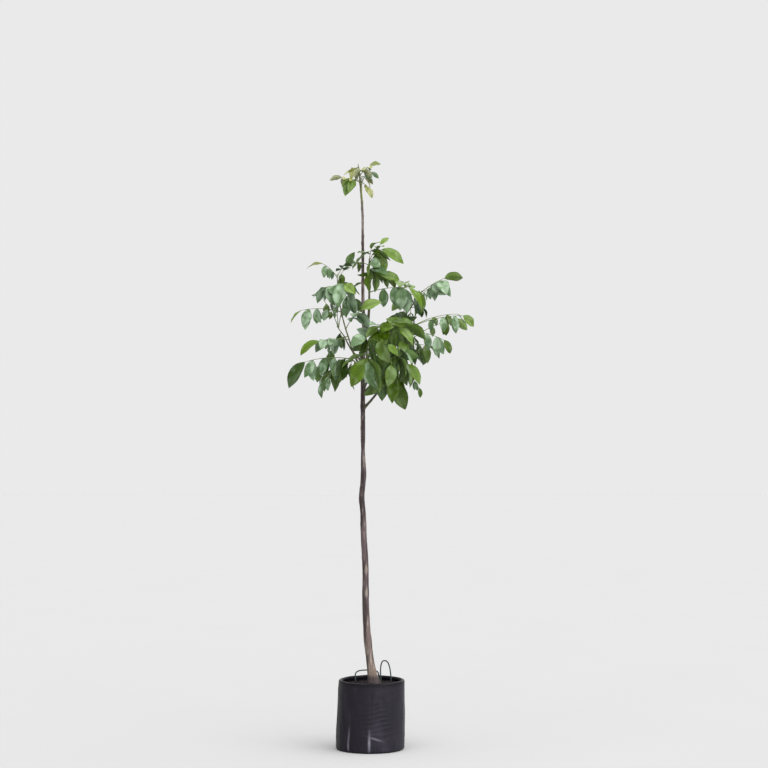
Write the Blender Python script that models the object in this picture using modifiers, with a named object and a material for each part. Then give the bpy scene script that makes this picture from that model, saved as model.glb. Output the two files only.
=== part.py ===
"""A young walnut tree, grown as a standard on a clear stem, in its handled nursery bag.

Metres, +Z up. The origin is the middle of the bag's flat underside, and the front faces -Y.
The trunk, each bough, each spray of leaves, the bag, the root ball in it and the two rope
handles are separate solids. Bearings are degrees in plan: 0 is +X, 90 is +Y.
"""

import math
import random
from typing import NamedTuple

import bmesh
import bpy
from mathutils import Vector
from mathutils.bvhtree import BVHTree

UP = Vector((0, 0, 1))
GAP = 0.0003  # between solids that touch on the real tree

# ---- Bag and root ball ----
BAG_HEIGHT = 0.352
BAG_FOOT_RADIUS = 0.175
BAG_MOUTH_RADIUS = 0.169
BAG_CORNER = 0.013  # radius of the bottom edge
BAG_LIP = 0.018  # how far the mouth is turned in over the soil
BAG_FILM = 0.0015
BAG_SIDES = 32
BAG_LEAN = 0.009  # how far the mouth stands to +X of the foot
SOIL_TOP = 0.337
SOIL_EDGE_DROP = 0.005
ROPE_RADIUS = 0.0038

# ---- Trunk ----
TRUNK_FOOT = Vector((0.0205, 0.0, SOIL_TOP + GAP))
TRUNK_TOP = 2.896
TRUNK_LINE_X = -0.037  # where the stem stands once it has swept in from its foot
TRUNK_SWEEP = 0.27  # height over which that sweep dies away
TRUNK_RADIUS = 0.0196
TRUNK_TIP_RADIUS = 0.0050
ROOT_FLARE = 0.0155
ROOT_FLARE_HEIGHT = 0.042
TRUNK_SIDES = 10
TRUNK_RINGS = 28

# ---- Leaves ----
LEAFLET_WIDTH = 0.50  # of its length
LEAFLET_THICKNESS = 0.017  # of its length, at the midrib
LEAFLET_FOLD = 0.28  # how far the two halves rise from the midrib, of the half width
LEAFLET_STATIONS = (0.3, 0.7)
SMALL_LEAFLET = 0.090  # a shorter one is drawn with one section fewer
SMALL_STATIONS = (0.45,)
LEAFLET_NECK = 0.0009  # half width where it joins its stalk
STALK_RADIUS = 0.0024
STALK_TIP_RADIUS = 0.0020
STALK_ARCH = 0.06  # of its length
ROOM = 0.0016  # kept clear round a leaflet or stalk that is being placed
TRIES = 7

BARK = ((0.16, 0.12, 0.10, 1), 0.85)
LEAF_GREEN = ((0.09, 0.20, 0.04, 1), 0.45)
BLACK_FILM = ((0.012, 0.012, 0.014, 1), 0.38)
SOIL = ((0.045, 0.028, 0.020, 1), 0.95)
ROPE = ((0.018, 0.030, 0.024, 1), 0.6)


class Bump(NamedTuple):
    """A local change along the trunk: at this height, by this much, over this spread."""

    height: float
    size: float
    spread: float


CROOKS_X = (
    Bump(0.92, 0.007, 0.16),
    Bump(1.285, -0.0075, 0.055),
    Bump(1.42, 0.003, 0.05),
    Bump(2.13, 0.006, 0.13),
    Bump(2.95, -0.014, 0.14),
)
CROOKS_Y = (
    Bump(0.75, 0.008, 0.22),
    Bump(1.23, -0.007, 0.07),
    Bump(1.46, 0.006, 0.08),
    Bump(2.05, -0.006, 0.20),
)
SWELLINGS = (
    Bump(0.560, 0.0016, 0.030),
    Bump(0.800, 0.0014, 0.026),
    Bump(1.150, 0.0012, 0.022),
    Bump(1.275, 0.0010, 0.028),
    Bump(1.410, 0.0018, 0.030),
    Bump(1.535, -0.0030, 0.045),
    Bump(1.755, 0.0016, 0.022),
)


class Limb(NamedTuple):
    """A bough: the height at which it leaves the trunk, and its line from there to its tip."""

    height: float
    bearing: float
    rise: float
    length: float
    sag: float  # how far its middle hangs off the straight line
    radius: float


class Leaf(NamedTuple):
    """One compound leaf: a stalk with leaflets in pairs and one at its end."""

    along: float  # share of its shoot's length
    bearing: float
    rise: float
    stalk: float
    blade: float  # length of the end leaflet
    hang: float  # 0 spreads its leaflets flat, 1 hangs them straight down
    pairs: int
    side: float  # length of the outermost pair, of the end leaflet's


class Spray(NamedTuple):
    """A mass of leaves on one shoot, which goes on from its bough's tip."""

    limb: str
    bearing: float
    rise: float
    length: float
    sag: float
    leaves: tuple
    seed: int


BOUGHS = {
    "bough_left": Limb(1.937, 204, 64, 0.169, 0.008, 0.0062),
    "bough_upright": Limb(2.081, 320, 81, 0.236, 0.011, 0.0086),
    "bough_right": Limb(2.034, 13, 41, 0.292, 0.018, 0.0066),
    "bough_right_middle": Limb(1.978, 351, 35, 0.221, 0.014, 0.0058),
    "bough_low_right": Limb(1.742, 336, 52, 0.256, 0.013, 0.0068),
    "bough_low_left": Limb(1.886, 234, 54, 0.110, 0.009, 0.0056),
    "bough_front": Limb(1.860, 279, 49, 0.213, 0.013, 0.0058),
    "bough_front_upper": Limb(1.988, 306, 35, 0.150, 0.013, 0.0056),
    "bough_front_right": Limb(1.824, 313, 41, 0.232, 0.013, 0.0062),
    "bough_back_left": Limb(1.983, 120, 35, 0.233, 0.015, 0.006),
    "bough_back": Limb(1.834, 71, 49, 0.285, 0.017, 0.0066),
    "bough_back_right": Limb(1.927, 35, 26, 0.260, 0.013, 0.006),
}

SPRAYS = {
    "spray_leader": Spray("trunk", 191, 83, 0.087, 0.000, (
        Leaf(0.00, 189, 13, 0.102, 0.081, 0.33, 1, 0.73),
        Leaf(0.37, 356, 45, 0.079, 0.067, 0.17, 1, 0.87),
        Leaf(0.12, 205, 0, 0.066, 0.074, 0.80, 1, 1.13),
        Leaf(0.07, 325, -35, 0.064, 0.056, 0.80, 1, 0.71),
        Leaf(0.92, 138, -18, 0.032, 0.068, 0.65, 1, 1.05),
        Leaf(0.51, 279, 15, 0.059, 0.062, 0.49, 1, 1.12),
        Leaf(0.30, 65, 11, 0.073, 0.072, 0.64, 1, 1.02),
        Leaf(0.70, 15, -4, 0.068, 0.056, 0.85, 0, 0.94),
        Leaf(0.38, 116, 25, 0.090, 0.067, 0.32, 1, 0.91),
    ), 3),
    "spray_upright": Spray("bough_upright", 262, 87, 0.178, 0.000, (
        Leaf(0.10, 337, 3, 0.225, 0.130, 0.98, 3, 0.98),
        Leaf(0.91, 341, 45, 0.103, 0.137, 0.99, 0, 1.13),
        Leaf(0.95, 283, 47, 0.090, 0.098, 0.50, 1, 1.20),
        Leaf(0.95, 16, 57, 0.114, 0.067, 0.04, 1, 1.05),
        Leaf(0.67, 304, 36, 0.033, 0.115, 0.88, 0, 1.30),
        Leaf(0.87, 137, 11, 0.087, 0.078, 0.57, 1, 0.74),
        Leaf(0.76, 41, -8, 0.152, 0.075, 0.75, 1, 1.26),
        Leaf(0.76, 280, 22, 0.091, 0.093, 0.81, 1, 1.06),
    ), 6),
    "spray_left": Spray("bough_left", 194, 79, 0.332, 0.014, (
        Leaf(0.00, 196, -3, 0.155, 0.119, 0.37, 2, 0.91),
        Leaf(0.44, 182, 3, 0.209, 0.093, 1.00, 3, 1.09),
        Leaf(0.82, 214, -4, 0.083, 0.097, 0.65, 2, 1.09),
        Leaf(0.86, 300, -2, 0.081, 0.111, 0.67, 2, 1.34),
        Leaf(0.97, 173, 44, 0.109, 0.097, 0.86, 3, 0.66),
        Leaf(1.00, 43, 50, 0.098, 0.091, 0.00, 1, 0.75),
        Leaf(0.81, 12, 76, 0.095, 0.050, 0.89, 1, 1.17),
        Leaf(0.81, 102, -13, 0.136, 0.077, 0.89, 1, 1.30),
        Leaf(0.17, 326, 46, 0.131, 0.113, 0.50, 1, 1.01),
        Leaf(0.69, 58, -1, 0.157, 0.085, 1.00, 1, 1.00),
        Leaf(0.05, 124, -11, 0.166, 0.064, 0.80, 1, 1.11),
    ), 86),
    "spray_low_left": Spray("bough_low_left", 222, 30, 0.034, 0.000, (
        Leaf(0.80, 182, -4, 0.233, 0.173, 1.00, 3, 0.68),
        Leaf(0.77, 190, -39, 0.195, 0.092, 1.00, 2, 0.80),
        Leaf(0.50, 248, -44, 0.060, 0.081, 0.78, 0, 1.01),
        Leaf(0.10, 267, -28, 0.080, 0.123, 1.00, 1, 1.00),
        Leaf(0.53, 146, -23, 0.173, 0.107, 0.76, 2, 1.16),
        Leaf(0.93, 227, -7, 0.079, 0.125, 0.88, 1, 0.96),
    ), 11),
    "spray_front": Spray("bough_front", 280, 55, 0.061, 0.000, (
        Leaf(0.92, 235, 45, 0.048, 0.114, 1.00, 1, 0.94),
        Leaf(0.32, 273, -41, 0.111, 0.156, 0.82, 2, 1.30),
        Leaf(0.62, 316, 1, 0.151, 0.086, 0.82, 1, 1.05),
        Leaf(1.00, 288, -3, 0.164, 0.128, 1.00, 2, 0.93),
    ), 83),
    "spray_front_upper": Spray("bough_front_upper", 314, 46, 0.061, 0.000, (
        Leaf(0.95, 327, 47, 0.068, 0.133, 0.75, 2, 1.02),
        Leaf(0.80, 252, 30, 0.085, 0.098, 0.71, 1, 1.07),
        Leaf(0.57, 324, 19, 0.122, 0.110, 0.88, 2, 1.00),
        Leaf(0.94, 208, 6, 0.055, 0.106, 0.59, 1, 1.01),
    ), 82),
    "spray_front_right": Spray("bough_front_right", 310, 50, 0.071, 0.000, (
        Leaf(0.87, 326, 33, 0.102, 0.121, 0.83, 2, 1.04),
        Leaf(0.47, 295, -7, 0.142, 0.137, 0.86, 2, 1.30),
        Leaf(0.47, 234, 0, 0.093, 0.114, 0.92, 1, 0.84),
        Leaf(0.40, 299, 14, 0.126, 0.134, 0.93, 1, 0.97),
        Leaf(0.64, 272, -21, 0.180, 0.122, 0.73, 1, 0.99),
    ), 81),
    "spray_low_right": Spray("bough_low_right", 320, 49, 0.060, 0.000, (
        Leaf(0.14, 331, -66, 0.072, 0.161, 1.00, 1, 0.95),
        Leaf(0.80, 330, -17, 0.077, 0.132, 0.96, 1, 0.90),
        Leaf(1.00, 320, 55, 0.068, 0.119, 0.57, 2, 1.00),
        Leaf(0.01, 210, -41, 0.052, 0.179, 0.91, 0, 1.01),
        Leaf(0.86, 13, -51, 0.185, 0.059, 0.91, 0, 0.98),
        Leaf(0.55, 61, 47, 0.142, 0.112, 0.85, 2, 1.12),
    ), 19),
    "spray_right_middle": Spray("bough_right_middle", 351, 37, 0.090, 0.000, (
        Leaf(0.99, 3, 13, 0.261, 0.088, 1.00, 3, 1.04),
        Leaf(0.54, 356, -13, 0.200, 0.088, 1.00, 2, 1.17),
        Leaf(0.86, 300, -65, 0.120, 0.097, 0.78, 1, 1.03),
        Leaf(0.89, 30, 15, 0.288, 0.072, 0.87, 1, 0.87),
        Leaf(0.30, 291, 45, 0.072, 0.109, 0.55, 2, 1.30),
    ), 86),
    "spray_right": Spray("bough_right", 343, 54, 0.139, 0.000, (
        Leaf(0.96, 351, 30, 0.148, 0.102, 0.63, 2, 1.12),
        Leaf(0.82, 197, 37, 0.131, 0.119, 0.38, 1, 1.11),
        Leaf(0.80, 273, 19, 0.085, 0.172, 1.00, 1, 0.84),
        Leaf(0.20, 196, -24, 0.063, 0.112, 0.54, 1, 1.11),
        Leaf(0.50, 41, 36, 0.180, 0.080, 0.87, 1, 0.83),
        Leaf(0.30, 335, -7, 0.072, 0.067, 0.86, 1, 0.72),
        Leaf(0.84, 133, 0, 0.135, 0.099, 0.98, 1, 0.75),
    ), 98),
    "spray_back_left": Spray("bough_back_left", 125, 39, 0.087, 0.000, (
        Leaf(0.87, 158, 60, 0.189, 0.061, 0.87, 1, 0.97),
        Leaf(0.48, 94, -5, 0.141, 0.083, 0.88, 1, 1.06),
        Leaf(0.93, 110, 68, 0.246, 0.090, 0.98, 1, 1.00),
        Leaf(0.00, 171, -49, 0.183, 0.104, 0.95, 2, 1.00),
        Leaf(0.86, 17, 72, 0.227, 0.092, 0.79, 1, 0.99),
    ), 48),
    "spray_back": Spray("bough_back", 66, 47, 0.113, 0.000, (
        Leaf(0.85, 34, 27, 0.153, 0.113, 0.86, 3, 1.16),
        Leaf(0.52, 24, -26, 0.133, 0.099, 0.85, 1, 0.97),
        Leaf(0.20, 118, 17, 0.129, 0.123, 0.83, 2, 1.12),
        Leaf(0.96, 94, 17, 0.145, 0.117, 0.70, 1, 1.18),
        Leaf(0.16, 59, -44, 0.153, 0.126, 0.91, 2, 1.14),
    ), 75),
    "spray_back_right": Spray("bough_back_right", 35, 45, 0.099, 0.000, (
        Leaf(0.86, 16, 25, 0.274, 0.089, 1.00, 1, 0.90),
        Leaf(0.51, 4, -3, 0.129, 0.096, 0.85, 1, 1.00),
        Leaf(0.26, 43, -5, 0.122, 0.111, 0.81, 2, 0.75),
        Leaf(0.04, 86, -37, 0.109, 0.112, 0.86, 2, 1.05),
        Leaf(0.90, 87, 79, 0.273, 0.096, 0.87, 1, 1.18),
    ), 93),
}


# ---- Curves that the limbs follow ----
def bump_sum(bumps, height):
    """The bumps' total at this height, each a bell curve."""
    return sum(b.size * math.exp(-(((height - b.height) / b.spread) ** 2)) for b in bumps)


def trunk_point(height):
    """The trunk's middle: it sweeps in from its foot, then runs up with slight crooks."""
    above = height - TRUNK_FOOT.z
    settled = 1 - math.exp(-above / 0.10)
    sweep = (TRUNK_FOOT.x - TRUNK_LINE_X) * math.exp(-above / TRUNK_SWEEP)
    x = TRUNK_LINE_X + sweep + settled * bump_sum(CROOKS_X, height)
    return Vector((x, settled * bump_sum(CROOKS_Y, height), height))


def trunk_radius(height):
    """An even taper, with the root flare at its foot and a swelling at each old knot."""
    above = height - TRUNK_FOOT.z
    share = above / (TRUNK_TOP - TRUNK_FOOT.z)
    flare = ROOT_FLARE * math.exp(-above / ROOT_FLARE_HEIGHT)
    return TRUNK_RADIUS + (TRUNK_TIP_RADIUS - TRUNK_RADIUS) * share + flare + bump_sum(SWELLINGS, height)


def heading(bearing, rise):
    """The unit vector at a bearing in plan and an angle above the horizontal, in degrees."""
    b, r = math.radians(bearing), math.radians(rise)
    return Vector((math.cos(b) * math.cos(r), math.sin(b) * math.cos(r), math.sin(r)))


def sagging_line(start, bearing, rise, length, sag, steps):
    """Points from start along a line that hangs off the straight one in the middle."""
    ahead, down = heading(bearing, rise) * length, heading(bearing, rise - 90) * sag
    shares = (i / steps for i in range(steps + 1))
    return [start + ahead * t + down * (4 * t * (1 - t)) for t in shares]


def at_share(points, share):
    """(point, direction) at a share of an evenly stepped line."""
    place = min(max(share, 0.0), 1.0) * (len(points) - 1)
    i = min(int(place), len(points) - 2)
    step = points[i + 1] - points[i]
    return points[i] + step * (place - i), step.normalized()


# ---- Meshes ----
def mesh_object(name, bm, look):
    """A new object holding this mesh, with its material."""
    mesh = bpy.data.meshes.new(name)
    bm.to_mesh(mesh)
    bm.free()
    return finished(bpy.data.objects.new(name, mesh), look)


def finished(obj, look):
    colour, roughness = look
    material = bpy.data.materials.get(f"{colour}{roughness}")
    if material is None:
        material = bpy.data.materials.new(f"{colour}{roughness}")
        material.use_nodes = True
        shader = material.node_tree.nodes["Principled BSDF"]
        shader.inputs["Base Color"].default_value = colour
        shader.inputs["Roughness"].default_value = roughness
    obj.data.materials.clear()
    obj.data.materials.append(material)
    return obj


def section(sides):
    """The closed outline of a limb, which the tubes take as their bevel."""
    name = f"section_{sides}"
    if name not in bpy.data.objects:
        curve = bpy.data.curves.new(name, "CURVE")
        curve.dimensions = "2D"
        spline = curve.splines.new("POLY")
        spline.points.add(sides - 1)
        for i, point in enumerate(spline.points):
            turn = 2 * math.pi * i / sides
            point.co = (math.cos(turn), math.sin(turn), 0, 1)
        spline.use_cyclic_u = True
        bpy.data.objects.new(name, curve).hide_render = True
    return bpy.data.objects[name]


def tube(name, points, radii, sides, look):
    """A mesh tube along these points, as thick as the radii say, with flat ends."""
    curve = bpy.data.curves.new(name, "CURVE")
    curve.dimensions = "3D"
    curve.bevel_mode = "OBJECT"
    curve.bevel_object = section(sides)
    curve.use_fill_caps = True
    spline = curve.splines.new("POLY")
    spline.points.add(len(points) - 1)
    for knot, point, radius in zip(spline.points, points, radii):
        knot.co = (*point, 1)
        knot.radius = radius
    helper = bpy.data.objects.new(name, curve)
    bpy.context.scene.collection.objects.link(helper)
    bpy.context.view_layer.update()
    evaluated = helper.evaluated_get(bpy.context.evaluated_depsgraph_get())
    mesh = bpy.data.meshes.new_from_object(evaluated)
    bpy.data.objects.remove(helper)
    bm = bmesh.new()
    bm.from_mesh(mesh)
    bpy.data.meshes.remove(mesh)
    bmesh.ops.remove_doubles(bm, verts=bm.verts, dist=1e-6)
    bmesh.ops.recalc_face_normals(bm, faces=bm.faces)
    return mesh_object(name, bm, look)


def turned(name, profile, look):
    """A profile of (radius, height) points, from the top down its outer side, turned about Z."""
    mesh = bpy.data.meshes.new(name)
    edges = [(i, i + 1) for i in range(len(profile) - 1)]
    mesh.from_pydata([(r, 0, z) for r, z in profile], edges, [])
    obj = finished(bpy.data.objects.new(name, mesh), look)
    screw = obj.modifiers.new("turn", "SCREW")
    screw.steps = screw.render_steps = BAG_SIDES
    screw.use_merge_vertices = True
    screw.merge_threshold = 0.0001
    return obj


def leaning(obj):
    """The same object as a plain mesh, pushed over towards +X evenly with its height."""
    bpy.context.scene.collection.objects.link(obj)
    bpy.context.view_layer.update()
    evaluated = obj.evaluated_get(bpy.context.evaluated_depsgraph_get())
    mesh = bpy.data.meshes.new_from_object(evaluated)
    bpy.context.scene.collection.objects.unlink(obj)
    obj.modifiers.clear()
    obj.data = mesh
    for vertex in mesh.vertices:
        vertex.co.x += BAG_LEAN * vertex.co.z / BAG_HEIGHT
    return obj


def arc(centre, radius, start, end, steps):
    """(radius, height) points on a circle between two angles in degrees."""
    turns = (math.radians(start + (end - start) * i / steps) for i in range(steps + 1))
    return [(centre[0] + radius * math.cos(t), centre[1] + radius * math.sin(t)) for t in turns]


# ---- Leaves ----
class Leaflet(NamedTuple):
    """Where one leaflet grows: its root, the way it points, its upper side and its size."""

    root: Vector
    ahead: Vector
    face: Vector
    length: float
    width: float
    curl: float  # radians by which it bends down from root to tip


def square_to(vector, axis):
    """The part of vector at right angles to axis, as a unit vector."""
    return (vector - axis * vector.dot(axis)).normalized()


def leaflet_outline(share):
    """Half width at a share of the length, of the widest: an ellipse drawn out to a tip."""
    return math.sin(math.pi * share**0.92) ** 0.82 * (1 - 0.25 * share**5)


def leaflet_sections(leaflet, grow=0.0):
    """The three-sided neck, then rings of left edge, upper midrib, right edge and lower
    midrib, and then the tip. The rings are a little wide, as the sides between are straight."""
    side = leaflet.ahead.cross(leaflet.face)
    bend = leaflet.length / leaflet.curl
    thick = LEAFLET_THICKNESS * leaflet.length / 2 + grow
    small = leaflet.length < SMALL_LEAFLET
    rings = []
    for share in (0.0, *(SMALL_STATIONS if small else LEAFLET_STATIONS)):
        turn = leaflet.curl * share
        middle = (
            leaflet.root
            + leaflet.ahead * (bend * math.sin(turn))
            - leaflet.face * (bend * (1 - math.cos(turn)))
        )
        face = leaflet.face * math.cos(turn) + leaflet.ahead * math.sin(turn)
        half = leaflet.width / 2 * leaflet_outline(share) * (1.16 if small else 1.1) + grow
        rise = face * (half * LEAFLET_FOLD)
        neck = LEAFLET_NECK + grow
        if share:
            rings.append((middle - side * half + rise, middle + face * thick,
                          middle + side * half + rise, middle - face * thick))
        else:
            rings.append((middle - side * neck + face * neck, middle + side * neck + face * neck,
                          middle - face * neck))
    turn = leaflet.curl
    tip = leaflet.ahead * (bend * math.sin(turn)) - leaflet.face * (bend * (1 - math.cos(turn)))
    return rings, leaflet.root + tip


def loft(rings, tip):
    """(points, faces) of a closed solid through the rings, to the tip."""
    points = [p for ring in rings for p in ring] + [tip]
    faces = [tuple(range(len(rings[0])))]
    start = 0
    for ring, following in zip(rings, rings[1:]):
        size, beyond = len(ring), start + len(ring)
        if size == 3:
            left, right, low = start, start + 1, start + 2
            faces += [(left, beyond, beyond + 1), (left, beyond + 1, right),
                      (right, beyond + 1, beyond + 2), (right, beyond + 2, beyond + 3),
                      (right, beyond + 3, low), (low, beyond + 3, beyond), (low, beyond, left)]
        else:
            for i in range(size):
                a, b = start + i, start + (i + 1) % size
                faces += [(a, a + size, b), (b, a + size, b + size)]
        start = beyond
    size, end = len(rings[-1]), len(points) - 1
    faces += [(start + i, end, start + (i + 1) % size) for i in range(size)]
    return points, faces


def leaflet_object(leaflet):
    points, faces = loft(*leaflet_sections(leaflet))
    bm = bmesh.new()
    corners = [bm.verts.new(p) for p in points]
    for face in faces:
        bm.faces.new([corners[i] for i in face])
    bmesh.ops.recalc_face_normals(bm, faces=bm.faces)
    return mesh_object("leaflet", bm, LEAF_GREEN)


def leaflet_on(root, along, across, length, hang, loose, rng):
    """A leaflet at root on a stalk that runs along. across is to its side, or None at the end."""
    if across is None:
        root = root - along * 0.003
        ahead = along - UP * (0.9 * hang**3) + heading(rng.uniform(0, 360), 0) * (0.08 * loose)
        out = along.cross(UP) if root.dot(along.cross(UP)) > 0 else UP.cross(along)
        face = UP * 0.75 + out * rng.uniform(0.35, 1.0)
    else:
        forward = rng.uniform(-0.05, 0.45) + 0.25 * (1 - hang)
        ahead = along * forward + across * (1.0 - 0.62 * hang) - UP * (1.5 * hang * hang)
        face = UP * (1.05 - hang) + across * hang + along * rng.uniform(-0.25, 0.25)
    ahead.normalize()
    face = square_to(face, ahead)
    tilt = math.radians(rng.uniform(-22, 22) * loose)
    face = face * math.cos(tilt) + ahead.cross(face) * math.sin(tilt)
    length *= rng.uniform(0.90, 1.08) * (1 - 0.03 * (loose - 1))
    width = LEAFLET_WIDTH * length * rng.uniform(0.88, 1.12)
    return Leaflet(root, ahead, face, length, width, rng.uniform(0.45, 0.95))


# ---- Room between the pieces ----
class Piece:
    """A solid as the crown knows it: whole, and without the root where it grows on another."""

    def __init__(self, spray, whole, clear_of_root):
        self.spray = spray
        self.whole = BVHTree.FromPolygons(*whole)
        self.outer = BVHTree.FromPolygons(*clear_of_root)
        self.low, self.high = box_of(whole[0])

    def meets(self, other):
        if any(self.low[k] > other.high[k] or other.low[k] > self.high[k] for k in range(3)):
            return False
        if self.spray == other.spray:
            return bool(self.outer.overlap(other.outer))
        return bool(self.whole.overlap(other.whole))


class Crown:
    """What has been placed so far, so that a new stalk or leaflet can be kept clear of it."""

    def __init__(self):
        self.pieces = []

    def is_free(self, piece, apart_from=None):
        return not any(p is not apart_from and piece.meets(p) for p in self.pieces)

    def add(self, piece):
        self.pieces.append(piece)
        return piece


def box_of(points):
    return [min(p[k] for p in points) for k in range(3)], [max(p[k] for p in points) for k in range(3)]


def tube_shell(points, radii, grow=0.0, sides=6):
    """(points, faces) of a plain tube round a line, to measure room with."""
    shell = []
    for i, (point, radius) in enumerate(zip(points, radii)):
        step = (points[min(i + 1, len(points) - 1)] - points[max(i - 1, 0)]).normalized()
        first = step.orthogonal().normalized()
        second = step.cross(first)
        for k in range(sides):
            turn = 2 * math.pi * k / sides
            shell.append(point + (first * math.cos(turn) + second * math.sin(turn)) * (radius + grow))
    faces = []
    for i in range(len(points) - 1):
        for k in range(sides):
            a, b = i * sides + k, i * sides + (k + 1) % sides
            faces.append((a, b, b + sides, a + sides))
    return shell, faces


def limb_piece(spray, points, radii, grow=0.0):
    """A limb, shoot or stalk with this much room round it."""
    return Piece(spray, tube_shell(points, radii, grow), tube_shell(points[1:], radii[1:], grow))


def leaflet_piece(spray, leaflet, grow=0.0):
    """A leaflet with this much room round it."""
    rings, tip = leaflet_sections(leaflet, grow)
    return Piece(spray, loft(rings, tip), loft(rings[1:], tip))


# ---- Growth ----
def taper(start, end, count):
    return [start + (end - start) * i / (count - 1) for i in range(count)]


def limb_lines():
    """Each bough's points and radii, from the trunk's middle to its tip."""
    lines = {}
    for name, limb in BOUGHS.items():
        points = sagging_line(trunk_point(limb.height), limb.bearing, limb.rise,
                              limb.length, limb.sag, 6)
        lines[name] = (points, taper(limb.radius, limb.radius * 0.62, len(points)))
    return lines


def shoot_line(spray, lines):
    """The spray's own stem, which starts a gap beyond its limb's tip."""
    if spray.limb == "trunk":
        tip, ahead = trunk_point(TRUNK_TOP), UP
        radius = TRUNK_TIP_RADIUS
    else:
        limb_points, limb_radii = lines[spray.limb]
        tip, ahead = at_share(limb_points, 1.0)
        radius = limb_radii[-1]
    first = tip + ahead * GAP
    lead = first + ahead * 0.006
    line = sagging_line(lead, spray.bearing, spray.rise, spray.length, spray.sag, 6)
    points = [first, *line]
    return points, taper(radius, radius * 0.55, len(points))


def stalk_line(leaf, shoot, rng, spread):
    """A leaf's stalk, from inside its shoot, arched a little on its way out. Each new try
    may turn it further, by up to spread degrees."""
    root, _ = at_share(shoot, min(0.14 + 0.86 * leaf.along, 0.985))
    bearing = leaf.bearing + rng.uniform(-1, 1) * spread
    rise = leaf.rise + rng.uniform(-1, 1) * spread
    length = leaf.stalk * rng.uniform(0.96, 1.04)
    arch = STALK_ARCH * length * rng.uniform(0.7, 1.3)
    return sagging_line(root, bearing, rise, length, -arch, 3)


def leaflets_on(spray, leaf, stalk, own_stalk, crown, rng):
    """The leaf's leaflets, each turned by the seeded rule until it has room, or left out."""
    spacing = min(0.27, 0.75 / (leaf.pairs + 0.3))
    sites = [(1.0, 0, 1.0)]
    for pair in range(leaf.pairs):
        share = 1 - (pair + 0.8) * spacing
        size = leaf.side * (1 - 0.15 * pair)
        sites += [(share, 1, size), (share + rng.uniform(-0.03, 0.03), -1, size)]
    grown = []
    for share, hand, size in sites:
        root, along = at_share(stalk, share)
        across = along.cross(UP).normalized() * hand if hand else None
        for attempt in range(TRIES):
            loose = 1 + attempt
            hang = min(max(leaf.hang + rng.uniform(-0.10, 0.07) * loose, 0.0), 1.0)
            leaflet = leaflet_on(root, along, across, leaf.blade * size, hang, loose, rng)
            if crown.is_free(leaflet_piece(spray, leaflet, ROOM), own_stalk):
                crown.add(leaflet_piece(spray, leaflet))
                grown.append(leaflet)
                break
    return grown


def grow():
    """Every spray's shoot, stalks and leaflets, in an order that never changes."""
    lines = limb_lines()
    crown = Crown()
    heights = taper(TRUNK_FOOT.z, TRUNK_TOP, TRUNK_RINGS)
    crown.add(limb_piece("trunk", [trunk_point(h) for h in heights], [trunk_radius(h) for h in heights]))
    for name, line in lines.items():
        crown.add(limb_piece(name, *line))
    shoots = {name: shoot_line(spray, lines) for name, spray in SPRAYS.items()}
    for name, line in shoots.items():
        crown.add(limb_piece(name, *line))
    stalks = {}
    for name, spray in SPRAYS.items():
        rng = random.Random(spray.seed)
        stalks[name] = []
        for leaf in spray.leaves:
            for attempt in range(TRIES):
                points = stalk_line(leaf, shoots[name][0], rng, 1 + 4 * attempt)
                radii = taper(STALK_RADIUS, STALK_TIP_RADIUS, len(points))
                if crown.is_free(limb_piece(name, points, radii, ROOM)):
                    own_stalk = crown.add(limb_piece(name, points, radii))
                    stalks[name].append((leaf, points, radii, own_stalk))
                    break
    leaflets = {}
    for name, spray in SPRAYS.items():
        rng = random.Random(spray.seed + 1000)
        leaflets[name] = []
        for leaf, points, _, own_stalk in stalks[name]:
            leaflets[name] += leaflets_on(name, leaf, points, own_stalk, crown, rng)
    return lines, shoots, stalks, leaflets


# ---- The solids ----
def joined(stem, pieces):
    """One body from the stem and the pieces that grow from it, without loose scraps."""
    group = bpy.data.collections.new("pieces")
    bpy.context.scene.collection.children.link(group)
    for piece in pieces:
        group.objects.link(piece)
    bpy.context.scene.collection.objects.link(stem)
    join = stem.modifiers.new("join", "BOOLEAN")
    join.operation = "UNION"
    join.operand_type = "COLLECTION"
    join.collection = group
    join.solver = "MANIFOLD"
    bpy.context.view_layer.update()
    evaluated = stem.evaluated_get(bpy.context.evaluated_depsgraph_get())
    mesh = bpy.data.meshes.new_from_object(evaluated)
    bpy.context.scene.collection.objects.unlink(stem)
    stem.modifiers.clear()
    stem.data = mesh
    for piece in pieces:
        bpy.data.objects.remove(piece)
    bpy.data.collections.remove(group)
    keep_largest(mesh)
    return stem


def keep_largest(mesh):
    """Drops every scrap that the union left apart from the main body."""
    bm = bmesh.new()
    bm.from_mesh(mesh)
    bmesh.ops.triangulate(bm, faces=bm.faces)
    unseen, bodies = set(bm.verts), []
    while unseen:
        body, edge = set(), [unseen.pop()]
        while edge:
            vertex = edge.pop()
            body.add(vertex)
            for link in vertex.link_edges:
                other = link.other_vert(vertex)
                if other in unseen:
                    unseen.remove(other)
                    edge.append(other)
        bodies.append(body)
    largest = max(bodies, key=len)
    bmesh.ops.delete(bm, geom=[v for v in bm.verts if v not in largest], context="VERTS")
    bm.to_mesh(mesh)
    bm.free()


def trunk_line():
    """The trunk's rings, closer together in the root flare than up the stem. The first and
    last pairs stand one over the other, so that both ends are cut flat and level."""
    span = TRUNK_TOP - TRUNK_FOOT.z
    heights = [TRUNK_FOOT.z + 0.004]
    heights += [TRUNK_FOOT.z + span * (i / TRUNK_RINGS) ** 1.35 for i in range(1, TRUNK_RINGS)]
    heights += [TRUNK_TOP - 0.006]
    foot, top = trunk_point(TRUNK_FOOT.z), trunk_point(TRUNK_TOP)
    points = [foot, foot + UP * 0.004, *(trunk_point(h) for h in heights[1:-1])]
    points += [top - UP * 0.006, top]
    radii = [trunk_radius(h) for h in (TRUNK_FOOT.z, *heights, TRUNK_TOP)]
    return points, radii


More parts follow.
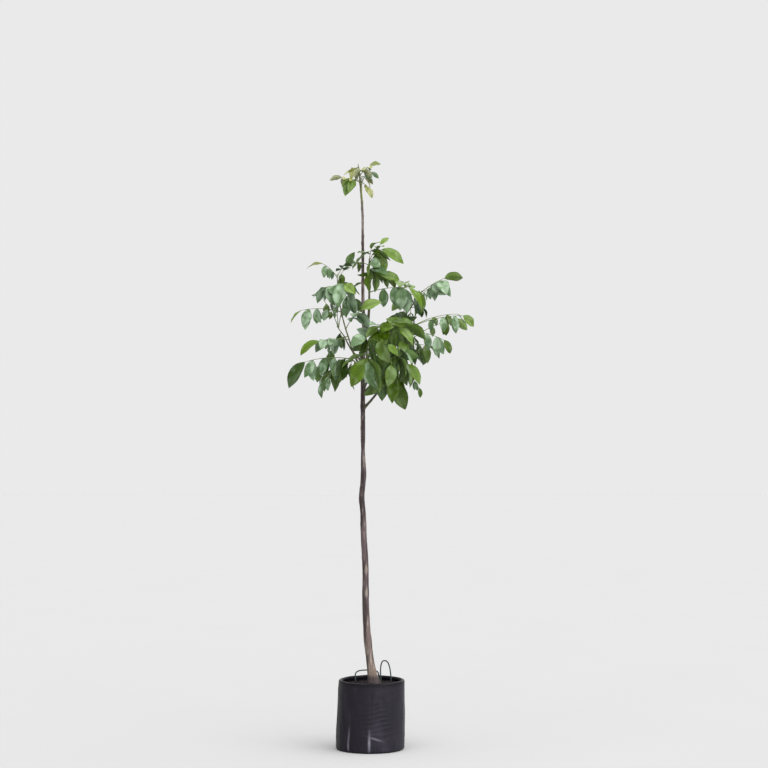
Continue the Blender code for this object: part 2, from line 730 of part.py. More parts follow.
def bough_solid(name, line, cutter):
    bough = tube(name, *line, 6, BARK)
    cut = bough.modifiers.new("cut to the trunk", "BOOLEAN")
    cut.operation = "DIFFERENCE"
    cut.object = cutter
    return bough


def spray_solid(name, shoot, stalks, leaflets):
    stem = tube(name, *shoot, 5, LEAF_GREEN)
    pieces = [tube("stalk", points, radii, 3, LEAF_GREEN) for _, points, radii, _ in stalks]
    pieces += [leaflet_object(leaflet) for leaflet in leaflets]
    return joined(stem, pieces)


def bag_solid():
    """Film bag: flat foot, rounded bottom edge, straight side, mouth turned in."""
    lip = arc((BAG_MOUTH_RADIUS - BAG_LIP / 2, BAG_HEIGHT - BAG_LIP / 2), BAG_LIP / 2, 150, 0, 3)
    foot = arc((BAG_FOOT_RADIUS - BAG_CORNER, BAG_CORNER), BAG_CORNER, 0, -90, 3)
    bag = turned("bag", [*lip, (0.173, 0.20), *foot, (0.0, 0.0)], BLACK_FILM)
    wall = bag.modifiers.new("film", "SOLIDIFY")
    wall.thickness = BAG_FILM
    wall.offset = -1
    wall.use_even_offset = True
    return leaning(bag)


def root_ball_solid():
    """The soil and roots that fill the bag, level round the trunk and lower at the wall."""
    inset = BAG_FILM + GAP + 0.0002
    corner = BAG_CORNER + 0.004
    edge = SOIL_TOP - SOIL_EDGE_DROP
    foot = arc((BAG_FOOT_RADIUS - inset - corner, inset + corner), corner, 0, -90, 3)
    shoulder = (BAG_MOUTH_RADIUS + 0.0006 - inset, edge - 0.006)
    profile = [(0.0, SOIL_TOP), (0.075, SOIL_TOP), (0.150, edge), shoulder,
               (0.173 - inset, 0.20), *foot, (0.0, inset)]
    return leaning(turned("root_ball", profile, SOIL))


def handle_solid(name, left, right, height, lean):
    """A rope loop that stands inside the mouth, from one foot to the other. Its sides rise
    steeply and its top is round, as stiff rope bends."""
    lip = BAG_MOUTH_RADIUS - BAG_LIP / 2 * (1 + math.cos(math.radians(30)))
    foot_radius = lip * math.cos(math.pi / BAG_SIDES) - ROPE_RADIUS - GAP
    feet = [heading(bearing, 0) * foot_radius for bearing in (left, right)]
    feet = [foot + Vector((BAG_LEAN, 0, 0)) for foot in feet]
    middle, half = (feet[0] + feet[1]) / 2, (feet[1] - feet[0]) / 2
    low = SOIL_TOP - SOIL_EDGE_DROP * (foot_radius - ROPE_RADIUS - 0.075) / 0.075 + GAP
    spring = BAG_HEIGHT + 0.003
    points = [feet[0] + UP * low]
    steps = 12
    for i in range(steps + 1):
        turn = math.pi * i / steps
        reach = -math.copysign(abs(math.cos(turn)) ** 0.7, math.cos(turn))
        rise = math.sin(turn) ** 0.95
        points.append(middle + half * reach + half.normalized() * (lean * rise)
                      + UP * (spring + height * rise))
    points.append(feet[1] + UP * low)
    return tube(name, points, [ROPE_RADIUS] * len(points), 6, ROPE)


def build():
    for old in list(bpy.data.objects):
        bpy.data.objects.remove(old)
    parts = bpy.data.collections.new("walnut_sapling")
    cutters = bpy.data.collections.new("cutters")
    for collection in (parts, cutters):
        bpy.context.scene.collection.children.link(collection)

    lines, shoots, stalks, leaflets = grow()
    points, radii = trunk_line()
    cutter = tube("trunk_clearance", points, [r + GAP * 1.1 for r in radii], TRUNK_SIDES, BARK)
    cutter.hide_render = True
    cutter.display_type = "WIRE"
    cutters.objects.link(cutter)
    solids = [bag_solid(), root_ball_solid(), tube("trunk", points, radii, TRUNK_SIDES, BARK)]
    solids.append(handle_solid("handle_back", 126, 76, 0.033, 0.0))
    solids.append(handle_solid("handle_right", 72, 48, 0.082, -0.006))
    solids += [bough_solid(name, line, cutter) for name, line in lines.items()]
    for name in SPRAYS:
        solids.append(spray_solid(name, shoots[name], stalks[name], leaflets[name]))
    for solid in solids:
        parts.objects.link(solid)


build()
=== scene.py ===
import itertools
import math
import random
from typing import NamedTuple

import bpy
import numpy as np
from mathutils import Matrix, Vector
from mathutils.bvhtree import BVHTree


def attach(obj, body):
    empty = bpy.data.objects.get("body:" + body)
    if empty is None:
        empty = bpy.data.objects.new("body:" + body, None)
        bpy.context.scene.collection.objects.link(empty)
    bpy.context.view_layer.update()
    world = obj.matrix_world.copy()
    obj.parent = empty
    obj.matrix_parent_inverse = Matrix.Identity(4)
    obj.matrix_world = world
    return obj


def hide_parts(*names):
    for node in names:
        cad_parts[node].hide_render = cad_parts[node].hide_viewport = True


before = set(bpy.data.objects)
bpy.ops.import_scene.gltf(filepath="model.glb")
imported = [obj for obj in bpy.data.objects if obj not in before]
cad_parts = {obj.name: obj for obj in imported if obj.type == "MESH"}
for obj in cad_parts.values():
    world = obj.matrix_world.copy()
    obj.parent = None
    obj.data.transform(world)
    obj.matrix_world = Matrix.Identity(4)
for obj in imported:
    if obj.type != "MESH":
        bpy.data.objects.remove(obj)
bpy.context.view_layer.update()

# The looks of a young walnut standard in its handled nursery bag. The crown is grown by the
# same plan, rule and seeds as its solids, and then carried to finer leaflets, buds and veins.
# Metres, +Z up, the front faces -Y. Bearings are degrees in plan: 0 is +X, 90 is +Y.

UP = Vector((0, 0, 1))
GAP = 0.0003  # between one solid and the next
MM = 0.001

# ---- Bag and root ball ----
BAG_HEIGHT = 0.352
BAG_FOOT_RADIUS = 0.175
BAG_WAIST = (0.173, 0.20)  # radius and height half way up
BAG_MOUTH_RADIUS = 0.169
BAG_CORNER = 0.013  # how far its foot is rounded
BAG_LIP = 0.018  # height of the rolled rim
BAG_FILM = 0.0009  # thicker than the real 0.2 mm, so that the rim shows an edge
BAG_SIDES = 32  # of the solid, which sets where the rope's feet stand
BAG_LEAN = 0.009  # how far its mouth stands towards +X
SOIL_TOP = 0.337
SOIL_EDGE_DROP = 0.005
ROPE_RADIUS = 0.0038

# ---- Trunk ----
TRUNK_FOOT = Vector((0.0205, 0.0, SOIL_TOP + GAP))
TRUNK_TOP = 2.896
TRUNK_LINE_X = -0.037  # where its line settles, well above the foot
TRUNK_SWEEP = 0.27  # height over which it settles
TRUNK_RADIUS = 0.0196
TRUNK_TIP_RADIUS = 0.0050
ROOT_FLARE = 0.0155
ROOT_FLARE_HEIGHT = 0.042
TRUNK_RINGS = 28  # of the solid's line, which the crown is kept clear of

# ---- Leaves ----
LEAFLET_WIDTH = 0.50  # of its length
LEAFLET_THICKNESS = 0.017  # of its length
LEAFLET_FOLD = 0.28  # how far an edge stands over the midrib, of the half width
LEAFLET_STATIONS = (0.3, 0.7)  # where the solid has rings of corners
SMALL_LEAFLET = 0.090  # length below which it has only the next one's ring
SMALL_STATIONS = (0.45,)
LEAFLET_NECK = 0.0009
STALK_RADIUS = 0.0024
STALK_TIP_RADIUS = 0.0020
STALK_ARCH = 0.06
BOUGH_TAPER = 0.62  # a bough's tip, of its foot
SHOOT_TAPER = 0.55
BOUGH_STEPS, STALK_STEPS = 6, 3  # of the solids' lines
ROOM = 0.0016  # kept free round each new stalk and leaflet
TRIES = 7  # at finding it


class Bump(NamedTuple):
    """A local change along the trunk: at this height, by this much, over this spread."""

    height: float
    size: float
    spread: float


CROOKS_X = (
    Bump(0.92, 0.007, 0.16),
    Bump(1.285, -0.0075, 0.055),
    Bump(1.42, 0.003, 0.05),
    Bump(2.13, 0.006, 0.13),
    Bump(2.95, -0.014, 0.14),
)
CROOKS_Y = (
    Bump(0.75, 0.008, 0.22),
    Bump(1.23, -0.007, 0.07),
    Bump(1.46, 0.006, 0.08),
    Bump(2.05, -0.006, 0.20),
)
SWELLINGS = (
    Bump(0.560, 0.0016, 0.030),
    Bump(0.800, 0.0014, 0.026),
    Bump(1.150, 0.0012, 0.022),
    Bump(1.275, 0.0010, 0.028),
    Bump(1.410, 0.0018, 0.030),
    Bump(1.535, -0.0030, 0.045),
    Bump(1.755, 0.0016, 0.022),
)


class Limb(NamedTuple):
    """A bough: the height at which it leaves the trunk, and its line from there to its tip."""

    height: float
    bearing: float
    rise: float
    length: float
    sag: float  # how far its middle hangs off the straight line
    radius: float


class Leaf(NamedTuple):
    """One compound leaf: a stalk with leaflets in pairs and one at its end."""

    along: float  # share of its shoot's length
    bearing: float
    rise: float
    stalk: float
    blade: float  # length of the end leaflet
    hang: float  # 0 spreads its leaflets flat, 1 hangs them straight down
    pairs: int
    side: float  # length of the outermost pair, of the end leaflet's


class Spray(NamedTuple):
    """A mass of leaves on one shoot, which goes on from its bough's tip."""

    limb: str
    bearing: float
    rise: float
    length: float
    sag: float
    leaves: tuple
    seed: int


BOUGHS = {
    "bough_left": Limb(1.937, 204, 64, 0.169, 0.008, 0.0062),
    "bough_upright": Limb(2.081, 320, 81, 0.236, 0.011, 0.0086),
    "bough_right": Limb(2.034, 13, 41, 0.292, 0.018, 0.0066),
    "bough_right_middle": Limb(1.978, 351, 35, 0.221, 0.014, 0.0058),
    "bough_low_right": Limb(1.742, 336, 52, 0.256, 0.013, 0.0068),
    "bough_low_left": Limb(1.886, 234, 54, 0.110, 0.009, 0.0056),
    "bough_front": Limb(1.860, 279, 49, 0.213, 0.013, 0.0058),
    "bough_front_upper": Limb(1.988, 306, 35, 0.150, 0.013, 0.0056),
    "bough_front_right": Limb(1.824, 313, 41, 0.232, 0.013, 0.0062),
    "bough_back_left": Limb(1.983, 120, 35, 0.233, 0.015, 0.006),
    "bough_back": Limb(1.834, 71, 49, 0.285, 0.017, 0.0066),
    "bough_back_right": Limb(1.927, 35, 26, 0.260, 0.013, 0.006),
}

SPRAYS = {
    "spray_leader": Spray("trunk", 191, 83, 0.087, 0.000, (
        Leaf(0.00, 189, 13, 0.102, 0.081, 0.33, 1, 0.73),
        Leaf(0.37, 356, 45, 0.079, 0.067, 0.17, 1, 0.87),
        Leaf(0.12, 205, 0, 0.066, 0.074, 0.80, 1, 1.13),
        Leaf(0.07, 325, -35, 0.064, 0.056, 0.80, 1, 0.71),
        Leaf(0.92, 138, -18, 0.032, 0.068, 0.65, 1, 1.05),
        Leaf(0.51, 279, 15, 0.059, 0.062, 0.49, 1, 1.12),
        Leaf(0.30, 65, 11, 0.073, 0.072, 0.64, 1, 1.02),
        Leaf(0.70, 15, -4, 0.068, 0.056, 0.85, 0, 0.94),
        Leaf(0.38, 116, 25, 0.090, 0.067, 0.32, 1, 0.91),
    ), 3),
    "spray_upright": Spray("bough_upright", 262, 87, 0.178, 0.000, (
        Leaf(0.10, 337, 3, 0.225, 0.130, 0.98, 3, 0.98),
        Leaf(0.91, 341, 45, 0.103, 0.137, 0.99, 0, 1.13),
        Leaf(0.95, 283, 47, 0.090, 0.098, 0.50, 1, 1.20),
        Leaf(0.95, 16, 57, 0.114, 0.067, 0.04, 1, 1.05),
        Leaf(0.67, 304, 36, 0.033, 0.115, 0.88, 0, 1.30),
        Leaf(0.87, 137, 11, 0.087, 0.078, 0.57, 1, 0.74),
        Leaf(0.76, 41, -8, 0.152, 0.075, 0.75, 1, 1.26),
        Leaf(0.76, 280, 22, 0.091, 0.093, 0.81, 1, 1.06),
    ), 6),
    "spray_left": Spray("bough_left", 194, 79, 0.332, 0.014, (
        Leaf(0.00, 196, -3, 0.155, 0.119, 0.37, 2, 0.91),
        Leaf(0.44, 182, 3, 0.209, 0.093, 1.00, 3, 1.09),
        Leaf(0.82, 214, -4, 0.083, 0.097, 0.65, 2, 1.09),
        Leaf(0.86, 300, -2, 0.081, 0.111, 0.67, 2, 1.34),
        Leaf(0.97, 173, 44, 0.109, 0.097, 0.86, 3, 0.66),
        Leaf(1.00, 43, 50, 0.098, 0.091, 0.00, 1, 0.75),
        Leaf(0.81, 12, 76, 0.095, 0.050, 0.89, 1, 1.17),
        Leaf(0.81, 102, -13, 0.136, 0.077, 0.89, 1, 1.30),
        Leaf(0.17, 326, 46, 0.131, 0.113, 0.50, 1, 1.01),
        Leaf(0.69, 58, -1, 0.157, 0.085, 1.00, 1, 1.00),
        Leaf(0.05, 124, -11, 0.166, 0.064, 0.80, 1, 1.11),
    ), 86),
    "spray_low_left": Spray("bough_low_left", 222, 30, 0.034, 0.000, (
        Leaf(0.80, 182, -4, 0.233, 0.173, 1.00, 3, 0.68),
        Leaf(0.77, 190, -39, 0.195, 0.092, 1.00, 2, 0.80),
        Leaf(0.50, 248, -44, 0.060, 0.081, 0.78, 0, 1.01),
        Leaf(0.10, 267, -28, 0.080, 0.123, 1.00, 1, 1.00),
        Leaf(0.53, 146, -23, 0.173, 0.107, 0.76, 2, 1.16),
        Leaf(0.93, 227, -7, 0.079, 0.125, 0.88, 1, 0.96),
    ), 11),
    "spray_front": Spray("bough_front", 280, 55, 0.061, 0.000, (
        Leaf(0.92, 235, 45, 0.048, 0.114, 1.00, 1, 0.94),
        Leaf(0.32, 273, -41, 0.111, 0.156, 0.82, 2, 1.30),
        Leaf(0.62, 316, 1, 0.151, 0.086, 0.82, 1, 1.05),
        Leaf(1.00, 288, -3, 0.164, 0.128, 1.00, 2, 0.93),
    ), 83),
    "spray_front_upper": Spray("bough_front_upper", 314, 46, 0.061, 0.000, (
        Leaf(0.95, 327, 47, 0.068, 0.133, 0.75, 2, 1.02),
        Leaf(0.80, 252, 30, 0.085, 0.098, 0.71, 1, 1.07),
        Leaf(0.57, 324, 19, 0.122, 0.110, 0.88, 2, 1.00),
        Leaf(0.94, 208, 6, 0.055, 0.106, 0.59, 1, 1.01),
    ), 82),
    "spray_front_right": Spray("bough_front_right", 310, 50, 0.071, 0.000, (
        Leaf(0.87, 326, 33, 0.102, 0.121, 0.83, 2, 1.04),
        Leaf(0.47, 295, -7, 0.142, 0.137, 0.86, 2, 1.30),
        Leaf(0.47, 234, 0, 0.093, 0.114, 0.92, 1, 0.84),
        Leaf(0.40, 299, 14, 0.126, 0.134, 0.93, 1, 0.97),
        Leaf(0.64, 272, -21, 0.180, 0.122, 0.73, 1, 0.99),
    ), 81),
    "spray_low_right": Spray("bough_low_right", 320, 49, 0.060, 0.000, (
        Leaf(0.14, 331, -66, 0.072, 0.161, 1.00, 1, 0.95),
        Leaf(0.80, 330, -17, 0.077, 0.132, 0.96, 1, 0.90),
        Leaf(1.00, 320, 55, 0.068, 0.119, 0.57, 2, 1.00),
        Leaf(0.01, 210, -41, 0.052, 0.179, 0.91, 0, 1.01),
        Leaf(0.86, 13, -51, 0.185, 0.059, 0.91, 0, 0.98),
        Leaf(0.55, 61, 47, 0.142, 0.112, 0.85, 2, 1.12),
    ), 19),
    "spray_right_middle": Spray("bough_right_middle", 351, 37, 0.090, 0.000, (
        Leaf(0.99, 3, 13, 0.261, 0.088, 1.00, 3, 1.04),
        Leaf(0.54, 356, -13, 0.200, 0.088, 1.00, 2, 1.17),
        Leaf(0.86, 300, -65, 0.120, 0.097, 0.78, 1, 1.03),
        Leaf(0.89, 30, 15, 0.288, 0.072, 0.87, 1, 0.87),
        Leaf(0.30, 291, 45, 0.072, 0.109, 0.55, 2, 1.30),
    ), 86),
    "spray_right": Spray("bough_right", 343, 54, 0.139, 0.000, (
        Leaf(0.96, 351, 30, 0.148, 0.102, 0.63, 2, 1.12),
        Leaf(0.82, 197, 37, 0.131, 0.119, 0.38, 1, 1.11),
        Leaf(0.80, 273, 19, 0.085, 0.172, 1.00, 1, 0.84),
        Leaf(0.20, 196, -24, 0.063, 0.112, 0.54, 1, 1.11),
        Leaf(0.50, 41, 36, 0.180, 0.080, 0.87, 1, 0.83),
        Leaf(0.30, 335, -7, 0.072, 0.067, 0.86, 1, 0.72),
        Leaf(0.84, 133, 0, 0.135, 0.099, 0.98, 1, 0.75),
    ), 98),
    "spray_back_left": Spray("bough_back_left", 125, 39, 0.087, 0.000, (
        Leaf(0.87, 158, 60, 0.189, 0.061, 0.87, 1, 0.97),
        Leaf(0.48, 94, -5, 0.141, 0.083, 0.88, 1, 1.06),
        Leaf(0.93, 110, 68, 0.246, 0.090, 0.98, 1, 1.00),
        Leaf(0.00, 171, -49, 0.183, 0.104, 0.95, 2, 1.00),
        Leaf(0.86, 17, 72, 0.227, 0.092, 0.79, 1, 0.99),
    ), 48),
    "spray_back": Spray("bough_back", 66, 47, 0.113, 0.000, (
        Leaf(0.85, 34, 27, 0.153, 0.113, 0.86, 3, 1.16),
        Leaf(0.52, 24, -26, 0.133, 0.099, 0.85, 1, 0.97),
        Leaf(0.20, 118, 17, 0.129, 0.123, 0.83, 2, 1.12),
        Leaf(0.96, 94, 17, 0.145, 0.117, 0.70, 1, 1.18),
        Leaf(0.16, 59, -44, 0.153, 0.126, 0.91, 2, 1.14),
    ), 75),
    "spray_back_right": Spray("bough_back_right", 35, 45, 0.099, 0.000, (
        Leaf(0.86, 16, 25, 0.274, 0.089, 1.00, 1, 0.90),
        Leaf(0.51, 4, -3, 0.129, 0.096, 0.85, 1, 1.00),
        Leaf(0.26, 43, -5, 0.122, 0.111, 0.81, 2, 0.75),
        Leaf(0.04, 86, -37, 0.109, 0.112, 0.86, 2, 1.05),
        Leaf(0.90, 87, 79, 0.273, 0.096, 0.87, 1, 1.18),
    ), 93),
}


# ---- Curves that the limbs follow ----
def bump_sum(bumps, height):
    """The bumps' total at a height or an array of heights, each a bell curve."""
    return sum(b.size * np.exp(-(((height - b.height) / b.spread) ** 2)) for b in bumps)


def trunk_points(heights):
    """The trunk's middle at each height, (..., 3): x falls from its foot as an exponential,
    and bell curves push the line aside at each crook."""
    above = heights - TRUNK_FOOT.z
    settled = 1 - np.exp(-above / 0.10)
    sweep = (TRUNK_FOOT.x - TRUNK_LINE_X) * np.exp(-above / TRUNK_SWEEP)
    x = TRUNK_LINE_X + sweep + settled * bump_sum(CROOKS_X, heights)
    return np.stack([x, settled * bump_sum(CROOKS_Y, heights), heights + 0 * x], -1)


def trunk_point(height):
    """The trunk's middle at one height."""
    return Vector(trunk_points(np.float64(height)))


def trunk_radius(height):
    """An even taper, with the root flare at its foot and a swelling at each old knot."""
    above = height - TRUNK_FOOT.z
    share = above / (TRUNK_TOP - TRUNK_FOOT.z)
    flare = ROOT_FLARE * np.exp(-above / ROOT_FLARE_HEIGHT)
    return TRUNK_RADIUS + (TRUNK_TIP_RADIUS - TRUNK_RADIUS) * share + flare + bump_sum(SWELLINGS, height)


def heading(bearing, rise):
    """The unit vector at a bearing in plan and an angle above the horizontal, in degrees."""
    b, r = math.radians(bearing), math.radians(rise)
    return Vector((math.cos(b) * math.cos(r), math.sin(b) * math.cos(r), math.sin(r)))


class Line(NamedTuple):
    """A line that hangs off the straight one: start + ahead·t + down·4t(1-t), t from 0 to 1."""

    start: Vector
    ahead: Vector
    down: Vector

    def at(self, t):
        return self.start + self.ahead * t + self.down * (4 * t * (1 - t))

    def points(self, steps):
        return [self.at(i / steps) for i in range(steps + 1)]

    def fine(self, steps):
        """The same line as a (steps + 1, 3) array."""
        t = np.linspace(0, 1, steps + 1)[:, None]
        return np.array(self.start) + np.array(self.ahead) * t + np.array(self.down) * (4 * t * (1 - t))


def sagging_line(start, bearing, rise, length, sag):
    """A line of this length, whose middle hangs square to it by the sag."""
    return Line(start, heading(bearing, rise) * length, heading(bearing, rise - 90) * sag)


def at_share(points, share):
    """(point, direction) at a share of an evenly stepped line."""
    place = min(max(share, 0.0), 1.0) * (len(points) - 1)
    i = min(int(place), len(points) - 2)
    step = points[i + 1] - points[i]
    return points[i] + step * (place - i), step.normalized()


# ---- Leaflets, and the room that they take ----
class Leaflet(NamedTuple):
    """Where one leaflet grows: its root, the way it points, its upper side and its size."""

    root: Vector
    ahead: Vector
    face: Vector
    length: float
    width: float
    curl: float


def square_to(vector, axis):
    """The unit vector nearest to this one that is square to the axis."""
    return (vector - axis * vector.dot(axis)).normalized()


def leaflet_outline(share):
    """Half width at a share of the length, of the widest: an ellipse drawn out to a tip."""
    return np.abs(np.sin(math.pi * share**0.92)) ** 0.82 * (1 - 0.25 * share**5)


def leaflet_sections(leaflet, grow=0.0):
    """The simple form that the room is measured with: a three-sided neck, then rings of left
    edge, upper midrib, right edge and lower midrib, and then the tip."""
    side = leaflet.ahead.cross(leaflet.face)
    bend = leaflet.length / leaflet.curl
    thick = LEAFLET_THICKNESS * leaflet.length / 2 + grow
    small = leaflet.length < SMALL_LEAFLET
    rings = []
    for share in (0.0, *(SMALL_STATIONS if small else LEAFLET_STATIONS)):
        turn = leaflet.curl * share
        middle = (
            leaflet.root
            + leaflet.ahead * (bend * math.sin(turn))
            - leaflet.face * (bend * (1 - math.cos(turn)))
        )
        face = leaflet.face * math.cos(turn) + leaflet.ahead * math.sin(turn)
        half = leaflet.width / 2 * leaflet_outline(share) * (1.16 if small else 1.1) + grow
        rise = face * (half * LEAFLET_FOLD)
        neck = LEAFLET_NECK + grow
        if share:
            rings.append((middle - side * half + rise, middle + face * thick,
                          middle + side * half + rise, middle - face * thick))
        else:
            rings.append((middle - side * neck + face * neck, middle + side * neck + face * neck,
                          middle - face * neck))
    turn = leaflet.curl
    tip = leaflet.ahead * (bend * math.sin(turn)) - leaflet.face * (bend * (1 - math.cos(turn)))
    return rings, leaflet.root + tip


def loft(rings, tip):
    """(points, faces) of a closed solid through the rings, to the tip."""
    points = [p for ring in rings for p in ring] + [tip]
    faces = [tuple(range(len(rings[0])))]
    start = 0
    for ring in rings[:-1]:
        size, beyond = len(ring), start + len(ring)
        if size == 3:
            left, right, low = start, start + 1, start + 2
            faces += [(left, beyond, beyond + 1), (left, beyond + 1, right),
                      (right, beyond + 1, beyond + 2), (right, beyond + 2, beyond + 3),
                      (right, beyond + 3, low), (low, beyond + 3, beyond), (low, beyond, left)]
        else:
            for i in range(size):
                a, b = start + i, start + (i + 1) % size
                faces += [(a, a + size, b), (b, a + size, b + size)]
        start = beyond
    size, end = len(rings[-1]), len(points) - 1
    faces += [(start + i, end, start + (i + 1) % size) for i in range(size)]
    return points, faces


def leaflet_on(root, along, across, length, hang, loose, rng):
    """A leaflet at root on a stalk that runs along. across is to its side, or None at the end."""
    if across is None:
        root = root - along * 0.003
        ahead = along - UP * (0.9 * hang**3) + heading(rng.uniform(0, 360), 0) * (0.08 * loose)
        out = along.cross(UP) if root.dot(along.cross(UP)) > 0 else UP.cross(along)
        face = UP * 0.75 + out * rng.uniform(0.35, 1.0)
    else:
        forward = rng.uniform(-0.05, 0.45) + 0.25 * (1 - hang)
        ahead = along * forward + across * (1.0 - 0.62 * hang) - UP * (1.5 * hang * hang)
        face = UP * (1.05 - hang) + across * hang + along * rng.uniform(-0.25, 0.25)
    ahead.normalize()
    face = square_to(face, ahead)
    tilt = math.radians(rng.uniform(-22, 22) * loose)
    face = face * math.cos(tilt) + ahead.cross(face) * math.sin(tilt)
    length *= rng.uniform(0.90, 1.08) * (1 - 0.03 * (loose - 1))
    width = LEAFLET_WIDTH * length * rng.uniform(0.88, 1.12)
    return Leaflet(root, ahead, face, length, width, rng.uniform(0.45, 0.95))


class Piece:
    """A solid as the crown knows it: whole, and without the root where it grows on another."""

    def __init__(self, spray, whole, clear_of_root):
        self.spray = spray
        self.whole = BVHTree.FromPolygons(*whole)
        self.outer = BVHTree.FromPolygons(*clear_of_root)
        self.low = [min(p[k] for p in whole[0]) for k in range(3)]
        self.high = [max(p[k] for p in whole[0]) for k in range(3)]

    def meets(self, other):
        """Whether they overlap: two of one spray with their roots apart, and others whole."""
        if any(self.low[k] > other.high[k] or other.low[k] > self.high[k] for k in range(3)):
            return False
        if self.spray == other.spray:
            return bool(self.outer.overlap(other.outer))
        return bool(self.whole.overlap(other.whole))


class Crown:
    """What has been placed so far, so that a new stalk or leaflet can be kept clear of it."""

    def __init__(self):
        self.pieces = []

    def is_free(self, piece, apart_from=None):
        """Whether the piece meets nothing, apart from the stalk that it grows on."""
        return not any(p is not apart_from and piece.meets(p) for p in self.pieces)

    def add(self, piece):
        self.pieces.append(piece)
        return piece


def tube_shell(points, radii, grow=0.0, sides=6):
    """(points, faces) of a plain tube round a line, to measure room with."""
    shell = []
    for i, (point, radius) in enumerate(zip(points, radii)):
        step = (points[min(i + 1, len(points) - 1)] - points[max(i - 1, 0)]).normalized()
        first = step.orthogonal().normalized()
        second = step.cross(first)
        for k in range(sides):
            turn = 2 * math.pi * k / sides
            shell.append(point + (first * math.cos(turn) + second * math.sin(turn)) * (radius + grow))
    faces = []
    for i in range(len(points) - 1):
        for k in range(sides):
            a, b = i * sides + k, i * sides + (k + 1) % sides
            faces.append((a, b, b + sides, a + sides))
    return shell, faces


def limb_piece(spray, points, radii, grow=0.0):
    """A limb, shoot or stalk with this much room round it."""
    return Piece(spray, tube_shell(points, radii, grow), tube_shell(points[1:], radii[1:], grow))


def leaflet_piece(spray, leaflet, grow=0.0):
    """A leaflet with this much room round it."""
    rings, tip = leaflet_sections(leaflet, grow)
    return Piece(spray, loft(rings, tip), loft(rings[1:], tip))


# ---- Growth ----
def taper(start, end, count):
    """Radii in even steps from start to end."""
    return [start + (end - start) * i / (count - 1) for i in range(count)]


class Shoot(NamedTuple):
    """A spray's own stem: its line, and its radius where it starts."""

    first: Vector
    line: Line
    radius: float

    def points(self):
        return [self.first, *self.line.points(BOUGH_STEPS)]


class Stalk(NamedTuple):
    """A compound leaf's stalk, with the leaflets that have found room on it."""

    leaf: Leaf
    line: Line
    piece: Piece
    leaflets: list


def shoot_on(spray, limbs):
    """The spray's stem, which starts a gap beyond its limb's tip."""
    if spray.limb == "trunk":
        tip, ahead = trunk_point(TRUNK_TOP), UP
        radius = TRUNK_TIP_RADIUS
    else:
        tip, ahead = at_share(limbs[spray.limb].points(BOUGH_STEPS), 1.0)
        radius = BOUGHS[spray.limb].radius * BOUGH_TAPER
    first = tip + ahead * GAP
    line = sagging_line(first + ahead * 0.006, spray.bearing, spray.rise, spray.length, spray.sag)
    return Shoot(first, line, radius)


def stalk_line(leaf, shoot_points, rng, spread):
    """A leaf's stalk, from inside its shoot, arched a little on its way out."""
    root = at_share(shoot_points, min(0.14 + 0.86 * leaf.along, 0.985))[0]
    bearing = leaf.bearing + rng.uniform(-1, 1) * spread
    rise = leaf.rise + rng.uniform(-1, 1) * spread
    length = leaf.stalk * rng.uniform(0.96, 1.04)
    arch = STALK_ARCH * length * rng.uniform(0.7, 1.3)
    return sagging_line(root, bearing, rise, length, -arch)


def leaflets_at(sites, spray, stalk, crown, rng):
    """Leaflets at these sites, each (share of the stalk, side or 0 at the end, size), turned by
    the seeded rule until they have room, or left out."""
    points = stalk.line.points(STALK_STEPS)
    for share, hand, size in sites:
        root, along = at_share(points, share)
        across = along.cross(UP).normalized() * hand if hand else None
        for attempt in range(TRIES):
            loose = 1 + attempt
            hang = min(max(stalk.leaf.hang + rng.uniform(-0.10, 0.07) * loose, 0.0), 1.0)
            leaflet = leaflet_on(root, along, across, stalk.leaf.blade * size, hang, loose, rng)
            if crown.is_free(leaflet_piece(spray, leaflet, ROOM), stalk.piece):
                crown.add(leaflet_piece(spray, leaflet))
                on_curve = stalk.line.at(share) - root
                stalk.leaflets.append(leaflet._replace(root=leaflet.root + on_curve))
                break


def pair_share(leaf, pair):
    """The place of a pair on its stalk, counted back from the tip in even steps."""
    return 1 - (pair + 0.8) * min(0.27, 0.75 / (leaf.pairs + 0.3))


def main_sites(leaf, rng):
    """The end leaflet and the pairs behind it, each pair smaller than the one beyond it."""
    sites = [(1.0, 0, 1.0)]
    for pair in range(leaf.pairs):
        share = pair_share(leaf, pair)
        size = leaf.side * (1 - 0.15 * pair)
        sites += [(share, 1, size), (share + rng.uniform(-0.03, 0.03), -1, size)]
    return sites


def further_sites(leaf, rng):
    """The smaller pairs that carry a leaf on towards its foot."""
    sites = []
    for pair in range(leaf.pairs, leaf.pairs + 3):
        share = pair_share(leaf, pair)
        size = leaf.side * max(0.86 - 0.13 * pair, 0.42)
        if share > 0.40:
            sites += [(share, 1, size), (share + rng.uniform(-0.03, 0.03), -1, size)]
    return sites


